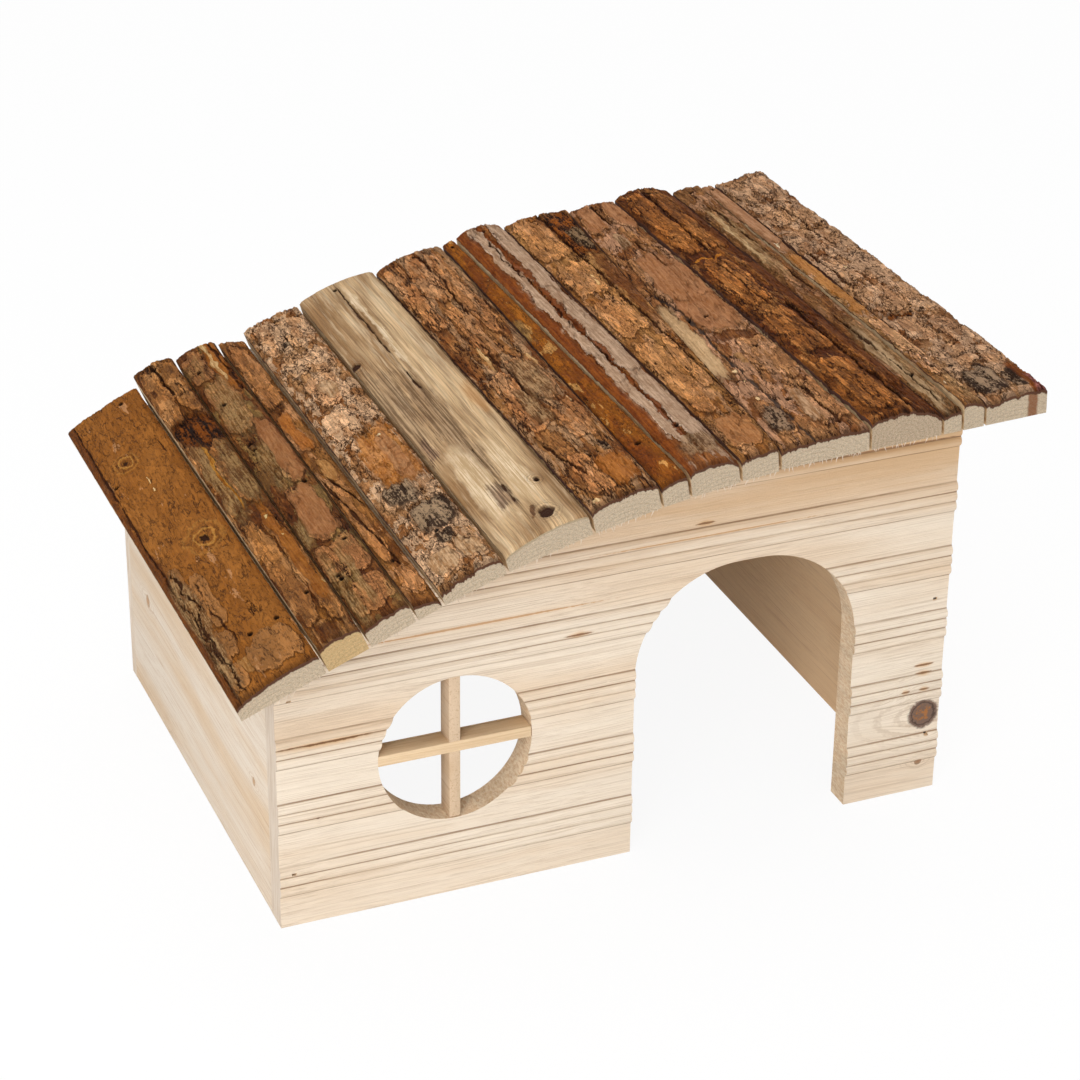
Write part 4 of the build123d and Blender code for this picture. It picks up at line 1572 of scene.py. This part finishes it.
                Patch(Mark.BARE, (-0.05, 0.20), (0.46, 0.73)),
                Crack((0.08, 0.36), (0.27, 0.50), 0.8, 0.9, 0.7, srgb(70, 58, 52)),
                Crack((0.27, 0.50), (0.29, 0.72), 0.8, 0.9, 0.9, srgb(70, 58, 52)),
                Crack((0.29, 0.72), (0.37, 1.0), 0.8, 0.9, 0.9, srgb(70, 58, 52)),
                Patch(Mark.FLECK, (0.22, 0.255), (0.735, 0.745)),
                Patch(Mark.FLECK, (0.21, 0.235), (0.765, 0.775)),
                Patch(Mark.FLECK, (0.205, 0.23), (0.825, 0.835)),
                Patch(Mark.LUMP, (0.08, 0.32), (0.87, 0.955)),
                Patch(Mark.DARK, (0.32, 0.95), (0.60, 0.625)),
                Patch(Mark.TAN, (0.40, 0.48), (0.67, 0.71)),
                Patch(Mark.LEAF, (0.50, 0.66), (0.84, 0.945)),
                Crack((0.74, 0.82), (0.76, 0.97), 0.9, 1.0, 1.0),
                *holes((0.50, 0.53), (0.28, 0.52), (0.72, 0.667), (0.89, 0.625)),
            ],
        ),
        RoofSlat(
            12,
            BarkLook(
                tone=(1.11, 0.88, 0.47), inner=srgb(88, 46, 18), outer=srgb(136, 90, 52),
                flake=(3.5, 22.0), crack=(3.5, 26.0), lean=-0.05, crack_share=0.7, contrast=1.3,
            ),
            (
                (0.06, 0.36, 0.03, 0.30), (0.42, 0.90, 0.04, 0.29), (0.08, 0.50, 0.35, 0.54),
                (0.66, 0.95, 0.36, 0.60), (0.10, 0.54, 0.57, 0.75), (0.68, 0.95, 0.63, 0.90),
                (0.10, 0.50, 0.78, 0.97),
            ),
            [
                Patch(Mark.DARK, (0.70, 1.1), (-0.1, 1.1)),
                Patch(Mark.RESIN, (0.08, 0.50), (0.328, 0.336)),
                Crack((0.42, 0.02), (0.40, 0.30), 0.7, 0.9, 1.0),
                Crack((0.60, 0.55), (0.62, 0.99), 1.1, 1.2, 1.4),
                Crack((0.30, 0.36), (0.36, 0.56), 0.6, 0.8, 1.0),
            ],
            end={"pale": srgb(214, 190, 160), "ring": srgb(160, 126, 92), "heart": (13.0, 1.0)},
        ),
        RoofSlat(
            13,
            BarkLook(
                tone=(1.2, 1.2, 1.18), inner=srgb(112, 64, 26), outer=srgb(152, 106, 64),
                crack_share=0.3,
            ),
            (
                (0.12, 0.62, 0.12, 0.46), (0.30, 0.92, 0.64, 0.96),
            ),
            [
                Patch(Mark.LICHEN, (0.12, 0.62), (0.13, 0.45)),
                Patch(Mark.LICHEN, (0.10, 0.95), (0.64, 0.98)),
                Patch(Mark.CREAM, (0.16, 0.34), (0.12, 0.36)),
                Patch(Mark.BARE, (0.14, 0.60), (0.68, 0.98)),
                Crack((0.50, 0.10), (0.70, 0.50), 0.6, 0.8, 0.8),
                Crack((0.35, 0.60), (0.45, 0.95), 0.6, 0.8, 0.8),
            ],
        ),
        RoofSlat(
            14,
            BarkLook(
                tone=(1.63, 1.89, 2.27), inner=srgb(124, 74, 32), outer=srgb(164, 118, 72),
                crack_share=0.2, tint_share=0.2,
            ),
            (
                (0.12, 0.88, 0.02, 0.30), (0.15, 0.80, 0.35, 0.62), (0.20, 0.88, 0.66, 0.88),
            ),
            [
                Patch(Mark.PINK, (0.02, 0.98), (-0.05, 0.32)),
                Patch(Mark.ORANGE, (0.10, 0.90), (0.34, 0.64)),
                Patch(Mark.FLECK, (0.22, 0.30), (0.295, 0.305)),
                Patch(Mark.FLECK, (0.15, 0.25), (0.905, 0.915)),
            ],
            clean_sides=True,
        ),
        RoofSlat(
            15,
            BarkLook(
                tone=(1.63, 1.68, 1.66), inner=srgb(112, 66, 34), outer=srgb(158, 116, 80),
                flake=(4.0, 9.0), flake_lift=0.42, crack=(5.0, 8.0), crack_share=1.0,
                tint=srgb(172, 134, 104), tint_share=0.7, plate_tone=srgb(166, 126, 94), slits=0.3,
                contrast=0.85,
            ),
            (
                (0.08, 0.50, 0.02, 0.12), (0.56, 0.94, 0.03, 0.14), (0.10, 0.44, 0.14, 0.24),
                (0.50, 0.94, 0.16, 0.26), (0.08, 0.50, 0.27, 0.36), (0.56, 0.95, 0.28, 0.38),
                (0.10, 0.46, 0.39, 0.50), (0.52, 0.94, 0.41, 0.52), (0.08, 0.60, 0.53, 0.63),
                (0.66, 0.95, 0.55, 0.66), (0.10, 0.48, 0.66, 0.76), (0.54, 0.94, 0.69, 0.79),
                (0.08, 0.56, 0.79, 0.88), (0.62, 0.95, 0.82, 0.90), (0.10, 0.54, 0.90, 0.98),
                (0.58, 0.92, 0.92, 0.98),
            ),
            [
                Crack((0.10, 0.36), (0.14, 0.50), 0.9, 1.0, 0.8),
                Crack((0.50, 0.12), (0.62, 0.36), 0.7, 1.0, 1.8),
                Patch(Mark.TORN, (0.10, 0.50), (0.645, 0.675)),
                Patch(Mark.FLECK, (0.36, 0.40), (0.445, 0.452)),
                Patch(Mark.LUMP, (0.10, 0.54), (0.89, 0.97)),
                Patch(Mark.LUMP, (0.60, 0.90), (0.93, 0.98)),
                Patch(Mark.RUSSET, (0.78, 1.05), (0.90, 1.03)),
                Patch(Mark.ROSE, (0.84, 1.06), (0.95, 1.04)),
            ],
            (0.16, 0.12),
            end={"stain": (18.0, 2.4)},
        ),
    ]


# ---------------------------------------------------------------------------------------------
# Walls and window cross
# ---------------------------------------------------------------------------------------------


@dataclass
class FrontBoard:
    """The reeded front board, with its doorway and window."""

    node: str = "front_panel"
    cell_across: float = 1.1
    cell_up: float = 0.42
    blank_depth: float = 0.15
    margin: float = 2.0  # how far the blank overlaps the outline in all
    end_band: float = 1.0  # how near a sawn end its faces lie
    reeds: Reeds = Reeds()
    corner_x: float = -123.8

    def build(self) -> bpy.types.Object:
        """Models and dresses the board.

        Returns:
            The finished piece.
        """
        low, high = (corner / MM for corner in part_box(self.node))
        flat = low.y + self.reeds.height
        size = high - low
        piece = start_piece(
            bpy.ops.mesh.primitive_grid_add,
            "front_board",
            x_subdivisions=round(size.x / self.cell_across),
            y_subdivisions=round(size.z / self.cell_up),
            size=1.0,
            rotation=(pi / 2, 0.0, 0.0),
        )
        bpy.ops.object.transform_apply(location=False, rotation=True, scale=False)
        bpy.ops.object.mode_set(mode="EDIT")
        bpy.ops.transform.resize(value=((size.x + self.margin) * MM, 1.0, (size.z + self.margin) * MM))
        middle = Vector(((low.x + high.x) / 2, flat + self.blank_depth, (low.z + high.z) / 2)) * MM
        bpy.ops.transform.translate(value=middle)
        thicken_sheet((0.0, (size.y + self.margin) * MM, 0.0), 1)
        bpy.ops.object.mode_set(mode="OBJECT")
        outline = copy_node(self.node, "front_outline")
        apply_modifier(piece, "BOOLEAN", operation="INTERSECT", solver="MANIFOLD", object=outline)
        bpy.data.objects.remove(outline)
        centres, normals = face_table(piece)
        at_left = centres[:, 0] < (low.x + self.end_band) * MM
        at_right = centres[:, 0] > (high.x - self.end_band) * MM
        at_end = (np.abs(normals[:, 0]) > SQUARE_ON) & (at_left | at_right)
        choice = np.where(np.abs(normals[:, 1]) > SQUARE_ON, 0, np.where(at_end, 2, 1))
        mould(piece, lambda graph, place, kept: self._shape(graph, place, flat))
        dress(piece, (self._face(flat), CutFinish("fir_cut").make(), end_grain()), choice)
        finish_piece(piece, "fir_board", self.node, smooth=35.0)
        return piece

    def _face(self, flat: float) -> bpy.types.Material:
        """The board's face, with its knots and streaks. Their X starts at the board's left edge."""
        left = self.corner_x
        brown = srgb(156, 116, 82)

        def knot(x: float, z: float, radius: float, **options: Any) -> BoardKnot:
            return BoardKnot((left + x, flat, z), radius, **options)

        def streak(start: float, end: float, z: float, half_height: float, **options: Any) -> Streak:
            return Streak((left + start, left + end), z, half_height, **options)

        return FirFinish(
            "fir_front", srgb(238, 223, 203), srgb(212, 174, 130), srgb(158, 124, 90), 0, 0.42, 0.24,
            knots=(
                knot(243.6, 32.0, 6.2),
                knot(243.0, 12.0, 1.6, collar=brown, eye=brown, strength=0.8),
                knot(14.0, 41.6, 0.8, collar=srgb(120, 84, 60), eye=srgb(90, 60, 40), strength=0.7),
            ),
            streaks=(
                streak(-2.0, 38.0, 70.6, 0.5),
                streak(102.0, 113.0, 93.2, 0.55, tone=srgb(128, 86, 54)),
                streak(150.0, 158.0, 126.4, 0.5),
                streak(238.0, 247.0, 52.6, 0.45),
                streak(239.0, 246.0, 49.4, 0.4),
                streak(240.5, 245.0, 43.2, 0.5),
                streak(233.5, 237.0, 43.2, 0.45),
                # The dark strip along the top right is painted shade in the groove under the slats.
                streak(195.0, 250.0, 143.0, 0.5, tone=srgb(150, 108, 74), halo_share=0.2),
                streak(20.0, 120.0, 104.0, 0.4, tone=srgb(196, 152, 108), halo_share=0.25),
                streak(110.0, 200.0, 122.0, 0.4, tone=srgb(196, 152, 108), halo_share=0.25),
            ),
            reeds=self.reeds,
            # Browner towards the roof: partly wood tone, partly painted shade under the roof's overhang.
            roof_shade_and_brown=(104.0, 142.0),
        ).make()

    def _shape(self, graph: Graph, place: Signal, flat: float) -> Signal:
        """Raises the reeds out of the blank's front."""
        spot = place * (1 / MM, 1 / MM, 1 / MM)
        x, y, z = (spot.part(index) for index in range(3))
        front = y.rise(flat + self.blank_depth + 0.03, flat + self.blank_depth + 0.01)
        reed = self.reeds.relief(graph, x, z)
        fibre = graph.noise(graph.join(x * 0.05, 0.0, z * 1.4), 4.0, 0.65) - 0.5
        wave = graph.noise(graph.join(x * 0.03, 0.0, z * 0.06), 2.0) - 0.5
        chip = graph.noise(graph.join(x * 0.10, 0.0, z * 0.5), 4.0, 0.7).rise(0.66, 0.74)
        out = reed * (1 - chip * 0.6) + fibre * 0.22 + wave * 0.3
        moved = y - (out + self.blank_depth) * front
        return graph.join(x, moved, z) * (MM, MM, MM)


@dataclass
class PlainBoard:
    """A plain board or stick: the CAD solid with its sharp edges eased."""

    node: str
    name: str
    slot: str
    ease: float = 0.3

    def build(self, faces: bpy.types.Material, edges: bpy.types.Material, thin_axis: int) -> bpy.types.Object:
        """Models and dresses the board.

        Args:
            faces: Material of its two broad faces.
            edges: Material of its edges.
            thin_axis: 0 if it is thin along X, 1 along Y.

        Returns:
            The finished piece.
        """
        piece = copy_node(self.node, self.name)
        apply_modifier(
            piece, "BEVEL", width=self.ease * MM, segments=2, limit_method="ANGLE", angle_limit=radians(50),
            use_clamp_overlap=True,
        )
        _, normals = face_table(piece)
        dress(piece, (faces, edges), np.where(np.abs(normals[:, thin_axis]) > 0.8, 0, 1))
        finish_piece(piece, self.slot, self.node, smooth=30.0)
        return piece


@dataclass
class Walls:
    """The four boards and the window cross."""

    def build(self) -> None:
        """Builds the boards and the cross."""
        FrontBoard().build()
        edge = end_grain()
        outer = FirFinish(
            "fir_left", srgb(232, 218, 200), srgb(216, 180, 134), srgb(186, 146, 104), 1, 0.7, 0.4,
            (
                BoardKnot((-123.8, 74.9, 45.7), 2.6, srgb(190, 146, 100), srgb(168, 118, 72), 0.7),
                BoardKnot((-123.8, -56.0, 43.4), 1.8, srgb(190, 146, 100), srgb(168, 118, 72), 0.6),
            ),
            # Browner near the top: partly wood tone, partly painted shade under the roof's eave.
            roof_shade_and_brown=(70.0, 105.0),
        ).make()
        PlainBoard("left_side_panel", "left_board", "fir_board").build(outer, edge, 0)
        # The right board's fir is paler and warmer than the other boards' to make up for the shade inside the
        # house: painted light.
        inner = FirFinish(
            "fir_right", srgb(252, 216, 172), srgb(238, 194, 146), srgb(204, 154, 106), 1, 0.5, 0.4,
            (BoardKnot((116.0, 63.7, 105.0), 4.5, srgb(176, 118, 72), srgb(130, 78, 42), 0.7),),
        ).make()
        PlainBoard("right_side_panel", "right_board", "fir_board").build(inner, edge, 0)
        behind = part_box("back_panel")[1].y / MM
        back = FirFinish(
            "fir_back", srgb(236, 218, 192), srgb(214, 182, 142), srgb(172, 132, 94), 0, 0.5, 0.5,
            (BoardKnot((38.0, behind, 74.0), 4.6), BoardKnot((-82.0, behind, 38.0), 3.0, strength=0.8)),
        ).make()
        PlainBoard("back_panel", "back_board", "fir_board").build(back, edge, 1)
        level = FirFinish(
            "fir_stick_level", srgb(232, 204, 166), srgb(214, 176, 130), srgb(188, 146, 102), 0
        ).make()
        upright = FirFinish(
            "fir_stick_upright", srgb(224, 198, 168), srgb(204, 170, 130), srgb(180, 142, 104), 1
        ).make()
        PlainBoard("window_bar_horizontal", "cross_horizontal", "fir_stick", 0.2).build(level, level, 1)
        PlainBoard("window_bar_vertical", "cross_vertical", "fir_stick", 0.2).build(upright, upright, 1)


@dataclass
class Splinters:
    """Fine torn fibres that hang from the lower front edges of the slats."""

    slats: tuple[int, ...] = (1, 3, 5, 6, 7, 9, 10, 11, 12)
    spacing: float = 1.5
    radius: float = 0.24
    longest: float = 2.8
    inset: float = 0.25
    most_lean: float = 28.0  # degrees
    seed: int = 11

    def build(self) -> None:
        """Models one fibre, copies it along the edges and joins the copies."""
        draw = random.Random(self.seed)
        fibre = start_piece(
            bpy.ops.mesh.primitive_cone_add,
            "splinters",
            vertices=4,
            radius1=self.radius * MM,
            radius2=0.0,
            depth=MM,
        )
        pieces = [fibre]
        for number in self.slats:
            blank = SlatBlank(f"roof_slat_{number:02d}")
            across = blank.left[0] + self.spacing
            while across < blank.right[0] - self.spacing:
                length = self.longest * draw.uniform(0.3, 1.0)
                spot = Vector((across, 0.0, blank.base + 0.3 - length / 2))
                spot = Matrix.Rotation(-blank.pitch, 3, "Y") @ spot
                spot.y = blank.ends[0] + self.inset + draw.uniform(0.0, 0.3)
                piece = fibre.copy()
                piece.data = fibre.data.copy()
                bpy.context.scene.collection.objects.link(piece)
                lean = pi + radians(draw.uniform(-self.most_lean, self.most_lean))
                turn = Matrix.Rotation(lean, 4, "Y") @ Matrix.Diagonal((1.0, 1.0, length, 1.0))
                piece.matrix_world = Matrix.Translation(spot * MM) @ turn
                pieces.append(piece)
                across += self.spacing * draw.uniform(0.35, 1.8)
        bpy.data.objects.remove(pieces.pop(0))
        pick(pieces[0])
        for piece in pieces:
            piece.select_set(True)
        bpy.ops.object.join()
        bpy.ops.object.transform_apply(location=True, rotation=True, scale=True)
        bundle = bpy.context.object
        bundle.name = bundle.data.name = "splinters"
        dress(bundle, (end_grain(),), np.zeros(len(bundle.data.polygons)))
        finish_piece(bundle, "bark_slab", smooth=20.0)


@dataclass
class Brads:
    """The brads, which keep their CAD shape."""

    nodes: tuple[str, str] = ("wall_brads", "roof_brads")

    def build(self) -> None:
        """Gives the brads their steel."""
        steel = SteelFinish().make()
        for node in self.nodes:
            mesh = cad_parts[node].data
            mesh.materials.clear()
            mesh.materials.append(steel)


# ---------------------------------------------------------------------------------------------
# Studio
# ---------------------------------------------------------------------------------------------


def shows_backdrop(graph: Graph) -> Signal:
    """1 for the camera's, mirrored and transmitted rays, which see the backdrop, and 0 for the rest."""
    rays = graph.node("ShaderNodeLightPath", {}, {})
    return rays["Is Camera Ray"].most(rays["Is Glossy Ray"]).most(rays["Is Transmission Ray"])


@dataclass(frozen=True)
class Lamp:
    """One square soft lamp: its name, place and side in metres, and its power in watts."""

    name: str
    place: Triple
    size: float
    power: float


@dataclass
class Studio:
    """Floor, light and camera."""

    lamps: tuple[Lamp, ...] = (
        Lamp("key_softbox", (-0.75, -0.95, 1.25), 0.9, 9.0),
        Lamp("fill_softbox", (-0.85, -1.25, 0.35), 0.8, 9.0),
        Lamp("top_softbox", (0.1, 0.35, 1.5), 1.4, 7.0),
    )
    lamp_aim: Triple = (0.0, 0.0, 0.08)
    world_strength: float = 0.55
    camera_place: Triple = (-377.96, -924.76, 615.16)
    camera_aim: Triple = (0.33684, 0.81661, -0.46871)
    camera_roll: float = 0.641
    lens: float = 104.27
    sensor: float = 36.0
    clip: float = 0.05
    floor_size: float = 6.0
    floor_tone: Colour = srgb(250, 250, 250)
    floor_white: float = 0.92

    def build(self) -> None:
        """Sets the stage."""
        self._floor()
        for lamp in self.lamps:
            self._lamp(lamp)
        self._world()
        self._camera()
        bpy.context.scene.view_settings.view_transform = "Standard"

    def _floor(self) -> None:
        """A wide pale floor that keeps the house's shadow."""
        floor = start_piece(bpy.ops.mesh.primitive_plane_add, "floor", size=self.floor_size)
        material, graph, shader = new_material("floor_paper")
        shader.inputs["Base Color"].default_value = (*self.floor_tone, 1.0)
        shader.inputs["Roughness"].default_value = 0.9
        seen = shows_backdrop(graph)
        white = graph.node("ShaderNodeEmission", {}, {"Strength": 1.0})[0]
        blend = graph.node("ShaderNodeMixShader", {}, {0: seen * self.floor_white})[0]
        graph.tree.links.new(shader.outputs[0], blend.socket.node.inputs[1])
        graph.tree.links.new(white.socket, blend.socket.node.inputs[2])
        graph.tree.links.new(blend.socket, graph.tree.nodes["Material Output"].inputs["Surface"])
        floor.data.materials.append(material)

    def _lamp(self, lamp: Lamp) -> None:
        """Hangs one lamp that points at the house."""
        light = bpy.data.lights.new(lamp.name, "AREA")
        light.shape = "SQUARE"
        light.size = lamp.size
        light.energy = lamp.power
        holder = bpy.data.objects.new(lamp.name, light)
        holder.location = lamp.place
        aim = Vector(self.lamp_aim) - Vector(lamp.place)
        holder.rotation_euler = aim.to_track_quat("-Z", "Y").to_euler()
        bpy.context.scene.collection.objects.link(holder)

    def _world(self) -> None:
        """Even light from all round, with a white backdrop for the camera."""
        world = bpy.data.worlds.new("studio")
        world.use_nodes = True
        bpy.context.scene.world = world
        graph = Graph(world.node_tree)
        background = world.node_tree.nodes["Background"]
        background.inputs["Color"].default_value = (1.0, 1.0, 1.0, 1.0)
        strength = shows_backdrop(graph).between(self.world_strength, 1.0)
        world.node_tree.links.new(strength.socket, background.inputs["Strength"])

    def _camera(self) -> None:
        """The camera, at the height and angle from which the house is shown."""
        camera = bpy.data.cameras.new("camera")
        camera.lens = self.lens
        camera.sensor_width = self.sensor
        camera.sensor_fit = "HORIZONTAL"
        camera.clip_start = self.clip
        holder = bpy.data.objects.new("camera", camera)
        turn = Vector(self.camera_aim).to_track_quat("-Z", "Y").to_matrix()
        turn = turn @ Matrix.Rotation(radians(self.camera_roll), 3, "Z")
        holder.matrix_world = Matrix.Translation(Vector(self.camera_place) * MM) @ turn.to_4x4()
        bpy.context.scene.collection.objects.link(holder)
        bpy.context.scene.camera = holder


def main() -> None:
    """Builds the house and its stage."""
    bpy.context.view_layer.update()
    Walls().build()
    for slat in roof_slats():
        slat.build()
    Splinters().build()
    Brads().build()
    Studio().build()


if __name__ == "__main__":
    logging.basicConfig(level=logging.INFO, format="%(name)s: %(message)s")
    main()
